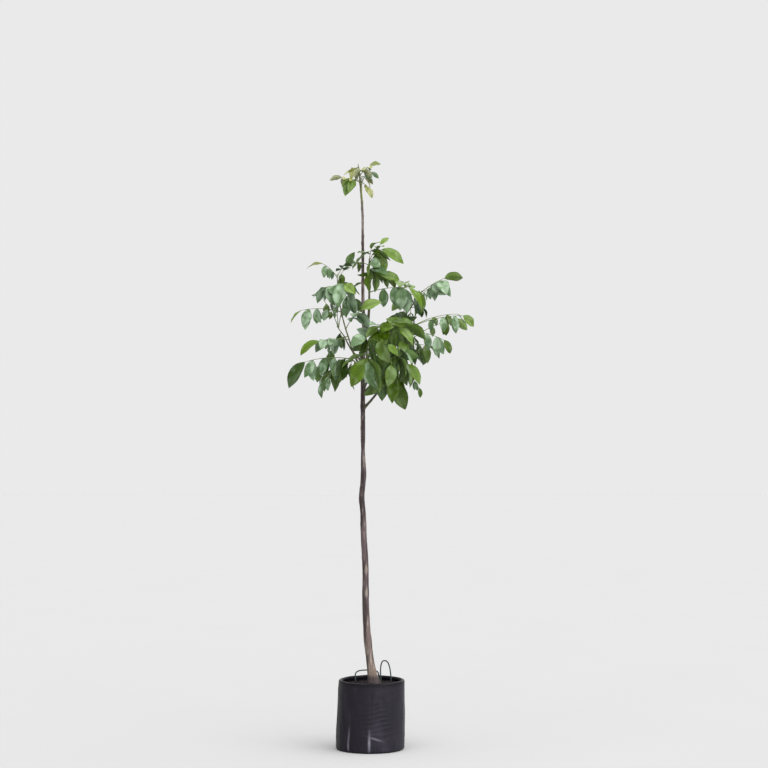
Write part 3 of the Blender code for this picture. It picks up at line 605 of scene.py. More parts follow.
def grow():
    """Every limb, shoot, stalk and leaflet, in an order that never changes. The further
    leaflets come last, so that those of the solids stand where they stood."""
    limbs = {}
    crown = Crown()
    heights = taper(TRUNK_FOOT.z, TRUNK_TOP, TRUNK_RINGS)
    crown.add(limb_piece("trunk", [trunk_point(h) for h in heights], [trunk_radius(h) for h in heights]))
    for name, limb in BOUGHS.items():
        limbs[name] = sagging_line(trunk_point(limb.height), *limb[1:5])
        radii = taper(limb.radius, limb.radius * BOUGH_TAPER, BOUGH_STEPS + 1)
        crown.add(limb_piece(name, limbs[name].points(BOUGH_STEPS), radii))
    shoots = {name: shoot_on(spray, limbs) for name, spray in SPRAYS.items()}
    for name, shoot in shoots.items():
        radii = taper(shoot.radius, shoot.radius * SHOOT_TAPER, BOUGH_STEPS + 2)
        crown.add(limb_piece(name, shoot.points(), radii))
    stalks = {}
    for name, spray in SPRAYS.items():
        rng = random.Random(spray.seed)
        stalks[name] = []
        radii = taper(STALK_RADIUS, STALK_TIP_RADIUS, STALK_STEPS + 1)
        for leaf in spray.leaves:
            for attempt in range(TRIES):
                line = stalk_line(leaf, shoots[name].points(), rng, 1 + 4 * attempt)
                points = line.points(STALK_STEPS)
                if crown.is_free(limb_piece(name, points, radii, ROOM)):
                    own_piece = crown.add(limb_piece(name, points, radii))
                    stalks[name].append(Stalk(leaf, line, own_piece, []))
                    break
    for sites, seed_step in ((main_sites, 1000), (further_sites, 2000)):
        for name, spray in SPRAYS.items():
            rng = random.Random(spray.seed + seed_step)
            for stalk in stalks[name]:
                leaflets_at(sites(stalk.leaf, rng), name, stalk, crown, rng)
    return limbs, shoots, stalks


# ---- Making meshes from whole arrays ----
def unit(vectors):
    """Each vector at a length of 1."""
    return vectors / np.maximum(np.linalg.norm(vectors, axis=-1, keepdims=True), 1e-12)


def wrapped(turn):
    """An angle in radians brought between -π and π."""
    return np.angle(np.exp(1j * turn))


def step_up(values, low, high):
    """0 below low, 1 above high, and 3t² - 2t³ between them."""
    t = np.clip((values - low) / (high - low), 0, 1)
    return t * t * (3 - 2 * t)


def noise(points, size, seed=0):
    """Smooth random values from -1 to 1: one at each corner of a lattice this wide, blended
    between the eight corners round a point by 3t² - 2t³."""
    places = points / size
    cell = np.floor(places).astype(np.int64)
    t = places - cell
    t = t * t * (3 - 2 * t)
    total = np.zeros(points.shape[:-1])
    for corner in itertools.product((0, 1), repeat=3):
        at = (cell + corner) * (73856093, 19349663, 83492791)
        mixed = (at[..., 0] ^ at[..., 1] ^ at[..., 2] ^ (seed * 2971215073)) & 0x7FFFFFFF
        mixed = ((mixed ^ (mixed >> 13)) * 1274126177) & 0x7FFFFFFF
        value = ((mixed ^ (mixed >> 16)) & 0xFFFF) / 32767.5 - 1
        total += value * np.prod(np.where(corner, t, 1 - t), axis=-1)
    return total


def noises(points, *layers):
    """The sum of several noises. Each layer is (height, size, stretch upwards, seed)."""
    return sum(height * noise(points * (1, 1, up), size, seed) for height, size, up, seed in layers)


def shell_faces(grid, fold):
    """Faces of closed shells, one for each entry of an (n, rows, columns, 3) grid: quads from
    each row to the next, closed round the columns, and a flat cap on the first and last row.
    From the column fold on, quads start a corner later: the underside of a thin blade is then
    split along the same diagonals as its upper side."""
    count, rows, columns = grid.shape[:3]
    start = np.arange(count)[:, None, None] * rows * columns
    along = start + np.arange(rows - 1)[None, :, None] * columns
    here = along + np.arange(columns)
    beside = along + (np.arange(columns) + 1) % columns
    quads = np.stack([here, beside, beside + columns, here + columns], -1)
    quads[..., fold:, :] = np.roll(quads[..., fold:, :], -1, axis=-1)
    first, last = np.arange(columns)[::-1], (rows - 1) * columns + np.arange(columns)
    caps = start[:, 0] + np.stack([first, last])[:, None]
    return quads, caps.reshape(-1, columns)


def placed(name, data):
    """A new object of this mesh, lamp or camera, in the scene."""
    thing = bpy.data.objects.new(name, data)
    bpy.context.scene.collection.objects.link(thing)
    return thing


def make_piece(name, grid, materials, replaces=(), face_materials=None, marks=None, sharp=50):
    """An object at the origin from closed shells. marks, a (rows, columns + 1, 2) array, gives
    each quad's corners their place on the shell's own map, and says that it is a thin blade."""
    fold = grid.shape[2] if marks is None else grid.shape[2] // 2
    quads, caps = shell_faces(grid, fold)
    mesh = bpy.data.meshes.new(name)
    faces = quads.reshape(-1, 4).tolist() + caps.tolist()
    mesh.from_pydata(grid.reshape(-1, 3).tolist(), [], faces)
    for material in materials:
        mesh.materials.append(material)
    if face_materials is not None:
        cap_materials = np.repeat(face_materials[:, 0, 0], 2)
        every = np.concatenate([face_materials.reshape(-1), cap_materials])
        mesh.polygons.foreach_set("material_index", every.astype(np.int32))
    if marks is not None:
        layer = mesh.uv_layers.new(name="blade")
        corners = np.stack([marks[:-1, :-1], marks[:-1, 1:], marks[1:, 1:], marks[1:, :-1]], 2)
        corners[:, fold:] = np.roll(corners[:, fold:], -1, axis=2)
        whole = np.broadcast_to(corners, (len(grid), *corners.shape)).reshape(-1, 2)
        on_caps = np.zeros((caps.size, 2))
        layer.data.foreach_set("uv", np.concatenate([whole, on_caps]).ravel())
    mesh.shade_smooth()
    mesh.set_sharp_from_angle(angle=math.radians(sharp))
    mesh.validate()
    piece = placed(name, mesh)
    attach(piece, "root")
    if replaces:
        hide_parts(*replaces)
    return piece


def tubes(lines, radii, sides):
    """Tubes carried along (n, k, 3) lines: round each point a circle of its radius, square to
    the line. The circle starts from the world axis that the line runs along least."""
    along = unit(np.gradient(lines, axis=1))
    axis = np.argmin(np.abs(lines[:, -1] - lines[:, 0]), axis=-1)
    reference = np.eye(3)[axis][:, None, :]
    first = unit(reference - along * (along * reference).sum(-1, keepdims=True))
    second = np.cross(along, first)
    turn = np.linspace(0, 2 * np.pi, sides, endpoint=False)[:, None]
    circle = first[:, :, None] * np.cos(turn) + second[:, :, None] * np.sin(turn)
    return lines[:, :, None] + circle * radii[:, :, None, None]


# ---- Trunk and boughs ----
SCAR_TURN = 144.0  # degrees from one leaf scar to the next, two fifths of a turn
BARK_ROWS, BARK_COLUMNS = 640, 56
BARK_RIDGES = ((0.045, 0.016, 0.12, 3), (0.018, 0.006, 1, 5), (0.050, 0.045, 0.5, 8))
SCAR_HEIGHT = 0.0062
WELT, DIMPLE, SCAR_BUD, SCAR_RING = 0.0015, 0.0009, 0.0016, 0.0004  # how proud, or how deep
BOUGH_COLLAR, COLLAR_REACH = 0.42, 0.014  # share by which a bough is thicker at the trunk
BUD_RINGS, BUD_RING = 0.052, 0.0006  # spacing along a bough, and height
SHOOT_NODES = 0.034  # spacing of the leaves' feet along a shoot
BUD_LENGTH, BUD_RADIUS = 8.5 * MM, 1.9 * MM


def scar_places():
    """(height, bearing in radians, size) of the trunk's old leaf scars, closer together and
    fresher towards its tip."""
    places, height, turn = [], TRUNK_FOOT.z + 0.16, 0.7
    while height < TRUNK_TOP - 0.03:
        share = (height - TRUNK_FOOT.z) / (TRUNK_TOP - TRUNK_FOOT.z)
        places.append((height, turn, 0.35 + 0.65 * share))
        height += 0.088 - 0.058 * share
        turn += math.radians(SCAR_TURN + 11 * math.sin(height * 37))
    return places


def trunk_bark():
    """The trunk as a function of height h and bearing a: its middle at h, and from there
    outward by the taper times 1 + five flutes that die away above the root flare, plus long
    shallow ridges, a low welt at each leaf scar with a dimple in it, and fine roughness."""
    share = np.linspace(0, 1, BARK_ROWS)[:, None]
    heights = TRUNK_FOOT.z - 0.006 + (TRUNK_TOP + 0.006 - TRUNK_FOOT.z) * share
    turn = np.linspace(0, 2 * np.pi, BARK_COLUMNS, endpoint=False)[None, :]
    above = np.maximum(heights - TRUNK_FOOT.z, 0)
    base = trunk_radius(np.maximum(heights, TRUNK_FOOT.z))
    outward = np.stack([np.cos(turn), np.sin(turn), 0 * turn], -1)
    plain = trunk_points(heights) + outward * base[..., None]
    flutes = 0.09 * np.exp(-above / 0.07) * np.sin(5 * turn + 0.8)
    relief = base * (flutes + noises(plain, *BARK_RIDGES))
    for height, bearing, size in scar_places():
        up = (heights - height) / SCAR_HEIGHT
        aside = wrapped(turn - bearing) * base / (0.42 * base + 0.0025)
        welt = np.exp(-(up**2) - aside**2)
        bud = np.exp(-(((up - 1.3) / 0.8) ** 2) - (aside / 0.45) ** 2)
        dimple = np.exp(-((up / 0.5) ** 2) - (aside / 0.5) ** 2)
        ring = np.exp(-((up / 0.8) ** 2))
        proud = WELT * welt - DIMPLE * dimple + SCAR_BUD * bud + SCAR_RING * ring
        relief = relief + size * proud
    radius = base + relief
    radius = radius * (1 - 0.25 * step_up(heights, TRUNK_TOP - 0.004, TRUNK_TOP))
    return (trunk_points(heights) + outward * radius[..., None])[None]


def bough_bark(limbs):
    """Each bough along t, from 0 at the trunk's middle to 1 at its tip, and round by a: its
    taper, times 1 + a collar that falls off as an exponential from the trunk's skin, plus a
    low ring at each old bud and fine roughness."""
    names = list(BOUGHS)
    steps = 44
    t = np.linspace(0, 1, steps + 1)
    lines = np.stack([limbs[name].fine(steps) for name in names])
    start = np.array([BOUGHS[name].radius for name in names])[:, None]
    length = np.array([BOUGHS[name].length for name in names])[:, None]
    trunk = np.array([trunk_radius(BOUGHS[name].height) for name in names])[:, None]
    out = np.maximum(length * t - trunk, 0)
    radii = start * (1 - (1 - BOUGH_TAPER) * t) * (1 + BOUGH_COLLAR * np.exp(-out / COLLAR_REACH))
    rings = np.abs(np.sin(np.pi * (length * t / BUD_RINGS + 0.31 * np.arange(len(names))[:, None])))
    radii = radii + BUD_RING * np.exp(-((1 - rings) / 0.012))
    grid = tubes(lines, radii, 16)
    middle = lines[:, :, None]
    rough = 1 + noises(grid, (0.07, 0.011, 1, 12), (0.05, 0.004, 1, 13))
    return middle + (grid - middle) * rough[..., None]


# ---- Shoots, stalks and buds ----
def shoot_twigs(shoots):
    """Each spray's own stem, from just inside its limb's tip to its end bud, swollen a little
    in a wave at the leaves' feet."""
    steps = 26
    t = np.linspace(0, 1, steps)
    lines = []
    for shoot in shoots.values():
        lead = np.array(shoot.first)[None] - np.array([(shoot.line.start - shoot.first) * 0.4])
        lines.append(np.concatenate([lead, shoot.line.fine(steps - 2)]))
    lines = np.stack(lines)
    start = np.array([shoot.radius for shoot in shoots.values()])[:, None]
    length = np.linalg.norm(lines[:, -1] - lines[:, 0], axis=-1)[:, None]
    wave = 0.5 + 0.5 * np.cos(2 * np.pi * t * np.maximum(length / SHOOT_NODES, 1))
    radii = start * (1 - (1 - SHOOT_TAPER) * t) * (0.97 + 0.10 * wave)
    radii[:, -1] *= 0.5
    grid = tubes(lines, radii, 12)
    middle = lines[:, :, None]
    rough = 1 + 0.06 * noise(grid, 0.007, 21)
    return middle + (grid - middle) * rough[..., None]


def leaf_stalks(stalks):
    """Each compound leaf's stalk: its arched line, thickest in a short swelling at the foot and
    thinning evenly to the end leaflet."""
    every = [stalk for found in stalks.values() for stalk in found]
    steps = 18
    t = np.linspace(0, 1, steps + 1)
    lines = np.stack([stalk.line.fine(steps) for stalk in every])
    radii = STALK_RADIUS * (0.90 - 0.44 * t + 0.45 * np.exp(-t / 0.05))
    nodes = 0.0003 * np.abs(np.sin(np.pi * t * 4.2)) ** 12
    return tubes(lines, np.broadcast_to(radii + nodes, lines.shape[:2]), 7)


def buds(shoots, stalks):
    """A pointed bud at each shoot's end and in each leaf's axil: along by s, and round, with
    a radius that goes as sin(πs)^0.7."""
    places, heads, sizes = [], [], []
    for name, shoot in shoots.items():
        places.append(shoot.line.at(1.0))
        heads.append((shoot.line.ahead - shoot.line.down * 4).normalized())
        sizes.append(1.25)
        for stalk in stalks[name]:
            places.append(stalk.line.at(0.0))
            heads.append((stalk.line.ahead.normalized() + UP * 1.1).normalized())
            sizes.append(0.9)
    places, heads, sizes = np.array(places), np.array(heads), np.array(sizes)[:, None]
    s = np.linspace(0.04, 0.985, 8)
    lines = places[:, None] + heads[:, None] * (s * BUD_LENGTH)[None, :, None] * sizes[..., None]
    radii = BUD_RADIUS * np.sin(np.pi * s) ** 0.7 * sizes
    return tubes(lines, radii, 8)


# ---- Leaflets ----
ROWS = np.array([0.0, 0.04, 0.10, 0.20, 0.32, 0.45, 0.58, 0.70, 0.81, 0.91, 1.0])  # along it
ROUND = np.array([-1, -0.5, 0, 0.5, 1, 0.5, 0, -0.5])  # across the top, and back underneath
OVER = np.array([0, 1, 1, 1, 0, -1, -1, -1])  # above or below the middle of its thickness
FOOT_HALF, TIP_HALF = 0.0011, 0.0004  # half widths where a leaflet starts and ends
HALF_THICK, RIB_THICK = 0.0003, 0.0004  # of the blade, and how much more the midrib has


def leaf_blades(leaflets, rng):
    """All blades at once as (n, rows, 8, 3). Along s the midrib is an arc of the leaflet's curl.
    Across v, from -1 to 1, half the width is the outline at s; the blade stands over the
    midrib by half width x (0.44|v| - 0.18v²), plus a ripple x v² along the margin; the section
    turns about the midrib as s grows. Top and underside are furthest apart at the midrib and
    meet at the margin."""
    root, ahead, face, length, width, curl = (np.array(values) for values in zip(*leaflets))
    length, width, curl = length[:, None], width[:, None], curl[:, None]
    count = len(leaflets)
    s = ROWS[None]
    side = np.cross(ahead, face)[:, None]
    ahead, face = ahead[:, None], face[:, None]
    turn = (curl * s)[..., None]
    bend = (length / curl)[..., None]
    middle = root[:, None] + ahead * bend * np.sin(turn) - face * bend * (1 - np.cos(turn))
    upper = face * np.cos(turn) + ahead * np.sin(turn)
    twist = (rng.uniform(-0.5, 0.5, (count, 1)) * (s - 0.2))[..., None]
    across = side * np.cos(twist) + upper * np.sin(twist)
    upper = upper * np.cos(twist) - side * np.sin(twist)
    half = np.maximum(width / 2 * leaflet_outline(np.minimum(s, 0.985)), 0.0006)
    half[:, 0] = FOOT_HALF
    half[:, -1] = TIP_HALF
    waves, phase = rng.uniform(1.6, 2.6, (count, 1, 1)), rng.uniform(0, 6.3, (count, 1, 1))
    v = ROUND[None, None]
    ripple = rng.uniform(0.05, 0.15, (count, 1, 1)) * v**2
    ripple = ripple * np.sin(2 * np.pi * waves * s[..., None] + phase + 1.7 * (v > 0))
    rise = half[..., None] * (0.44 * np.abs(v) - 0.18 * v**2 + ripple)
    thick = HALF_THICK + RIB_THICK * (v == 0) * (1 - s[..., None])
    height = rise + OVER * thick
    blade = middle[:, :, None] + across[:, :, None] * (half[..., None] * v)[..., None]
    return blade + upper[:, :, None] * height[..., None]


def blade_marks():
    """Each blade's own map: along from foot to tip, and across from 0 to 1, midrib at 0.5."""
    across = np.append(ROUND, ROUND[0]) / 2 + 0.5
    return np.stack(np.broadcast_arrays(ROWS[:, None], across[None]), -1)


# ---- Bag, root ball and rope handles ----
BAG_COLUMNS = 400
SOIL_MIDDLE = BAG_LEAN * SOIL_TOP / BAG_HEIGHT  # x of its top's centre
CREASE_SEED = 61
SIDE_CREASES = 15
SHARP_FOLD = 0.0028  # height from which a crease's fold gets a painted highlight
WRINKLES_BEARING, WRINKLES_SPREAD = -76, 0.078
WRINKLE_SPACING, WRINKLE_HEIGHT = 0.0235, 0.0025
PLEATS = 34  # round the foot
RIM_RISE, RIM_TILT, RIM_WAVE = 0.0040, 0.0035, 0.0016  # evenly, more at the back, at random
SOIL_LEVEL, SOIL_SLOPE = 0.075, 0.075  # radius of its level middle, and width of its slope
FLARE_MOUND, MOUND_RADIUS = 0.0035, 0.05
STRAND_LAY = 0.024  # length of one turn of the rope's strands


class Crease(NamedTuple):
    """A fold line in the film: where it stands, how far it runs, and how proud it is."""

    bearing: float
    low: float
    high: float
    proud: float  # a negative one is a valley
    width: float
    slant: float  # how far it moves round, in metres for each metre up


FRONT_CREASES = (
    Crease(-128, 0.008, 0.235, 0.0040, 0.0050, 0.02),
    Crease(-137, 0.030, 0.330, -0.0018, 0.0070, 0.03),
    Crease(-92, 0.008, 0.150, 0.0046, 0.0044, -0.03),
    Crease(-90, 0.180, 0.340, -0.0030, 0.0036, 0.00),
    Crease(-84, 0.240, 0.335, 0.0018, 0.0110, 0.05),
    Crease(-112, 0.090, 0.300, 0.0010, 0.0090, -0.04),
    Crease(-60, 0.030, 0.250, 0.0010, 0.0090, 0.06),
    Crease(-47, 0.020, 0.310, 0.0012, 0.0080, 0.00),
    Crease(-152, 0.015, 0.170, 0.0018, 0.0060, -0.03),
    Crease(-22, 0.020, 0.280, 0.0016, 0.0070, 0.02),
)


def all_creases():
    """The front's own creases, and seeded ones round the rest of the bag."""
    rng = random.Random(CREASE_SEED)
    creases = list(FRONT_CREASES)
    for i in range(SIDE_CREASES):
        low = rng.uniform(0.01, 0.10)
        bearing = -5 + 200 * (i + rng.random()) / SIDE_CREASES
        creases.append(Crease(bearing, low, low + rng.uniform(0.10, 0.22),
                              rng.choice((1, 1, -0.6)) * rng.uniform(0.0014, 0.0032),
                              rng.uniform(0.004, 0.008), rng.uniform(-0.06, 0.06)))
    return creases


def creased(crease, turn, height, place):
    """(distance from a crease's line in metres, share from 0 to 1 of its full depth there)."""
    aside = wrapped(turn - math.radians(crease.bearing)) * BAG_MOUTH_RADIUS
    middle = (crease.low + crease.high) / 2
    aside = np.abs(aside - crease.slant * (height - middle) + 0.003 * noise(place, 0.05, 36))
    depth = step_up(height, crease.low - 0.01, crease.low + 0.02)
    return aside, depth * (1 - step_up(height, crease.high - 0.07, crease.high + 0.01))


def film_relief(turn, height):
    """(how far the film stands off its plain turned form in metres, its share of painted highlight),
    at a bearing and height: wide soft bulges, ridged noise drawn out upwards, each crease as
    proud x e^(-distance/width), level wrinkles as ridged waves in a patch on the front, one
    fold that slants down across it, and pleats at the foot. The sharpest folds and the slanting one get a
    painted highlight."""
    turn, height = np.broadcast_arrays(turn, height)
    place = np.stack([BAG_MOUTH_RADIUS * np.cos(turn), BAG_MOUTH_RADIUS * np.sin(turn), height], -1)
    relief = noises(place, (0.0018, 0.13, 1, 31), (0.0010, 0.06, 1, 32))
    relief = relief + 0.0014 * (1 - np.abs(noise(place * (1, 1, 0.28), 0.050, 33))) ** 4
    painted_highlight = 0 * relief
    for crease in all_creases():
        aside, depth = creased(crease, turn, height, place)
        relief = relief + crease.proud * depth * np.exp(-aside / crease.width)
        # Painted highlight on the sharpest folds: worn holds its reach, full below 0.03 m high and gone
        # above 0.16 m.
        worn = depth * step_up(height, 0.16, 0.03) * (0.75 + 0.5 * noise(place, 0.03, 39))
        sharp = max(crease.proud - SHARP_FOLD, 0) / 0.0021
        painted_highlight = painted_highlight + sharp * worn * np.exp(-((aside / 0.0052) ** 2))
    front = wrapped(turn - math.radians(WRINKLES_BEARING)) * BAG_MOUTH_RADIUS
    patch = np.exp(-((front / WRINKLES_SPREAD) ** 2)) * (0.75 + 0.5 * noise(place, 0.045, 40))
    patch = patch * step_up(height, 0.04, 0.09) * (1 - step_up(height, 0.17, 0.29))
    wave = (height - 0.10 * front + 0.014 * noise(place, 0.065, 37)) / WRINKLE_SPACING
    relief = relief + WRINKLE_HEIGHT * patch * (1 - np.abs(np.sin(np.pi * wave))) ** 1.6
    fold = (height - 0.068 + 0.34 * front) / 0.0046
    streak = np.exp(-(fold**2) - ((front + 0.014) / 0.030) ** 2)
    relief = relief + 0.0028 * streak
    # The slanting fold gets a painted highlight too.
    painted_highlight = painted_highlight + 0.34 * streak
    pleat = (1 - np.abs(np.sin(PLEATS / 2 * turn + 2.5 * noise(place, 0.07, 38)))) ** 3
    relief = relief + 0.0010 * pleat * (1 - step_up(height, 0.010, 0.055))
    return np.clip(relief, -0.0016, 0.0052) * step_up(height, 0.0, 0.012), np.clip(painted_highlight, 0, 1)


def bend(centre, radius, start, end, steps):
    """(radius, height) points on a circle between two angles in degrees."""
    turn = np.radians(np.linspace(start, end, steps + 1))
    return np.stack([centre[0] + radius * np.cos(turn), centre[1] + radius * np.sin(turn)], -1)


def straight(start, end, steps):
    """Points on a straight line, without its first."""
    return np.linspace(start, end, steps + 1)[1:]


def leaned(grid):
    """The same points, pushed towards +X evenly with their height."""
    grid[..., 0] += BAG_LEAN * grid[..., 2] / BAG_HEIGHT
    return grid


def bag_film():
    """(grid, share of painted highlight) of the film as a profile carried round Z: level foot, rounded
    edge, straight side, and a mouth rolled in over the soil, then back down its inner face one film's
    thickness in. The relief pushes both faces along the profile's outward normal, and the rim
    waves up and down and stands 7 mm higher at the back than at the front."""
    side = BAG_MOUTH_RADIUS - BAG_LIP / 2
    outer = np.concatenate([
        np.array([(0.002, 0.0)]),
        straight((0.002, 0.0), (BAG_FOOT_RADIUS - BAG_CORNER, 0.0), 5),
        bend((BAG_FOOT_RADIUS - BAG_CORNER, BAG_CORNER), BAG_CORNER, -90, 0, 8)[1:],
        straight((BAG_FOOT_RADIUS, BAG_CORNER), BAG_WAIST, 66),
        straight(BAG_WAIST, (BAG_MOUTH_RADIUS, BAG_HEIGHT - BAG_LIP / 2), 54),
        bend((side, BAG_HEIGHT - BAG_LIP / 2), BAG_LIP / 2, 0, 205, 18)[1:],
    ])
    step = unit(np.gradient(outer, axis=0))
    normal = np.stack([step[:, 1], -step[:, 0]], -1)
    keep = np.r_[np.arange(len(outer) - 1, 100, -1), np.arange(100, 0, -4), 0]
    rows = np.concatenate([outer, (outer - normal * BAG_FILM)[keep]])
    heights = np.concatenate([outer[:, 1], outer[keep, 1]])[:, None]
    normal = np.concatenate([normal, normal[keep]])
    turn = np.linspace(0, 2 * np.pi, BAG_COLUMNS, endpoint=False)[None, :]
    on_side = np.concatenate([outer[:, 0], outer[keep, 0]])[:, None] > side
    relief, painted_highlight = film_relief(turn, heights)
    relief = relief * np.where(on_side, 1.0, 0.4)
    relief = relief * (1 - 0.75 * step_up(heights, 0.300, 0.345))  # stretched at the rim
    radius = rows[:, :1] + relief * normal[:, :1]
    rim = np.stack([np.cos(turn), np.sin(turn), 0 * turn], -1)
    rim_wave = RIM_WAVE * noise(rim * BAG_MOUTH_RADIUS, 0.07, 41) + RIM_RISE + RIM_TILT * np.sin(turn)
    height = rows[:, 1:] + relief * normal[:, 1:] + rim_wave * step_up(heights, 0.30, 0.352)
    height = np.maximum(height, rows[:, 1:] * (heights < BAG_CORNER))
    grid = np.stack([radius * np.cos(turn), radius * np.sin(turn), height], -1)
    return leaned(grid)[None], painted_highlight


def soil_height(x, y):
    """The soil's top: level round the trunk, falling to the wall as a straight slope, a low
    mound at the root flare, and three sizes of crumb as noise."""
    out = np.hypot(x - SOIL_MIDDLE, y)
    level = SOIL_TOP - SOIL_EDGE_DROP * np.clip((out - SOIL_LEVEL) / SOIL_SLOPE, 0, 1.2)
    near_flare = np.hypot(x - TRUNK_FOOT.x, y - TRUNK_FOOT.y)
    place = np.stack([x, y, 0 * x], -1)
    crumbs = noises(place, (0.0022, 0.034, 1, 51), (0.0018, 0.012, 1, 52), (0.0011, 0.0055, 1, 53))
    return level + crumbs + FLARE_MOUND * np.exp(-((near_flare / MOUND_RADIUS) ** 4))


def root_ball():
    """Soil and roots as rings: out over the crumbly top, down inside the film, and in under."""
    inset = BAG_FILM + 0.0026
    edge = BAG_MOUTH_RADIUS - inset
    out = np.concatenate([[0.001], np.linspace(0.012, edge, 62)])
    turn = np.linspace(0, 2 * np.pi, 220, endpoint=False)[None, :]
    x, y = SOIL_MIDDLE + out[:, None] * np.cos(turn), out[:, None] * np.sin(turn)
    top = np.stack([x, y, soil_height(x, y)], -1)
    profile = np.array([(edge, 0.318), (BAG_WAIST[0] - inset, 0.20), (BAG_FOOT_RADIUS - inset, 0.03),
                        (BAG_FOOT_RADIUS - inset - 0.012, 0.006), (0.08, 0.004), (0.001, 0.004)])
    radius, height = profile[:, :1], profile[:, 1:] + 0 * turn
    under = np.stack([radius * np.cos(turn), radius * np.sin(turn), height], -1)
    grid = np.concatenate([top, leaned(under)])
    return grid[::-1][None]


def bark_chips(count, rng):
    """Bits of bark on the soil: each a lens of three rings, longest along its own bearing,
    laid flat on the soil and sunk a third of its thickness."""
    out = BAG_MOUTH_RADIUS * np.sqrt(rng.uniform(0.05, 0.80, count))
    turn = rng.uniform(0, 2 * np.pi, count)
    x, y = SOIL_MIDDLE + out * np.cos(turn), out * np.sin(turn)
    length = rng.uniform(3, 8, count) ** 1.15 * MM
    wide, thick = length * rng.uniform(0.25, 0.6, count), length * rng.uniform(0.12, 0.3, count)
    bearing = rng.uniform(0, 2 * np.pi, count)
    s = np.array([0.08, 0.35, 0.7, 0.96])
    ring = np.linspace(0, 2 * np.pi, 6, endpoint=False)
    swell = np.sqrt(np.sin(np.pi * s))[None, :, None] * rng.uniform(0.75, 1.2, (count, len(s), len(ring)))
    along = (length[:, None] * (s - 0.5))[..., None] + 0 * swell
    aside = wide[:, None, None] / 2 * swell * np.cos(ring)
    up = thick[:, None, None] / 2 * swell * np.sin(ring)
    slope = rng.uniform(-0.35, 0.35, count)[:, None, None]
    c, n = np.cos(bearing)[:, None, None], np.sin(bearing)[:, None, None]
    px = x[:, None, None] + along * c - aside * n
    py = y[:, None, None] + along * n + aside * c
    pz = soil_height(x, y)[:, None, None] + up + along * slope + thick[:, None, None] * 0.15
    return np.stack([px, py, pz], -1)


def handle_line(left, right, height, lean, across, up):
    """A rope loop's middle line: straight up from the soil at both bearings, and over the rim
    as a superellipse, |cos|^across to the side and sin^up in height."""
    lip = BAG_MOUTH_RADIUS - BAG_LIP / 2 * (1 + math.cos(math.radians(30)))  # of the solid's rim
    foot_radius = lip * math.cos(math.pi / BAG_SIDES) - ROPE_RADIUS - GAP
    feet = [np.array(heading(b, 0)) * foot_radius + (BAG_LEAN, 0, 0) for b in (left, right)]
    middle, half = (feet[0] + feet[1]) / 2, (feet[1] - feet[0]) / 2
    spring = BAG_HEIGHT + 0.003  # where the straight feet end
    turn = np.linspace(0, np.pi, 90)[:, None]
    reach = -np.sign(np.cos(turn)) * np.abs(np.cos(turn)) ** across
    rise = np.sin(turn) ** up
    over = middle + half * reach + unit(half) * (lean * rise) + (0, 0, 1) * (spring + height * rise)
    heights = np.linspace(SOIL_TOP - 0.016, spring, 7)[:-1, None]  # from under the soil
    rising = feet[0] + (0, 0, 1) * heights
    falling = feet[1] + (0, 0, 1) * heights[::-1]
    return even_steps(np.concatenate([rising, over, falling]), 150)


def run_along(line):
    """Each point's distance from the first, measured along the line."""
    return np.append(0, np.cumsum(np.linalg.norm(np.diff(line, axis=0), axis=-1)))


def even_steps(line, count):
    """The same line, stepped evenly along its length."""
    run = run_along(line)
    at = np.linspace(0, run[-1], count)
    return np.stack([np.interp(at, run, line[:, k]) for k in range(3)], -1)


def rope(line):
    """Three strands laid round a line: strand k's middle stands off it at the bearing
    2π·(run / lay + k/3), square to the line, and each strand is a tube."""
    strand = ROPE_RADIUS / 2.155  # three circles that fill one of the rope's radius
    along = unit(np.gradient(line, axis=0))
    chord = line[-1] - line[0]
    first = unit(np.cross(along, np.cross(chord, (0, 0, 1))))
    second = np.cross(along, first)
    turn = 2 * np.pi * (run_along(line)[None] / STRAND_LAY + np.arange(3)[:, None] / 3)
    off = first * np.cos(turn)[..., None] + second * np.sin(turn)[..., None]
    lines = line[None] + off * (ROPE_RADIUS - strand)
    return tubes(lines, np.full(lines.shape[:2], strand), 8)


# ---- Materials ----
def linear(hex_colour):
    """An sRGB hex value as linear RGBA: c/12.92 below 0.04045, else ((c + 0.055)/1.055)^2.4."""
    channels = [int(hex_colour[i:i + 2], 16) / 255 for i in (1, 3, 5)]
    return (*(c / 12.92 if c <= 0.04045 else ((c + 0.055) / 1.055) ** 2.4 for c in channels), 1)


class Coat(NamedTuple):
    """A colour over what is below it. Its share of the mixture goes from 0 where the value is
    at low to the most where it is at high, on a smooth course or, as LINEAR, a straight one."""

    value: bpy.types.NodeSocket
    low: float
    high: float
    most: float
    colour: str
    course: str = "SMOOTHSTEP"


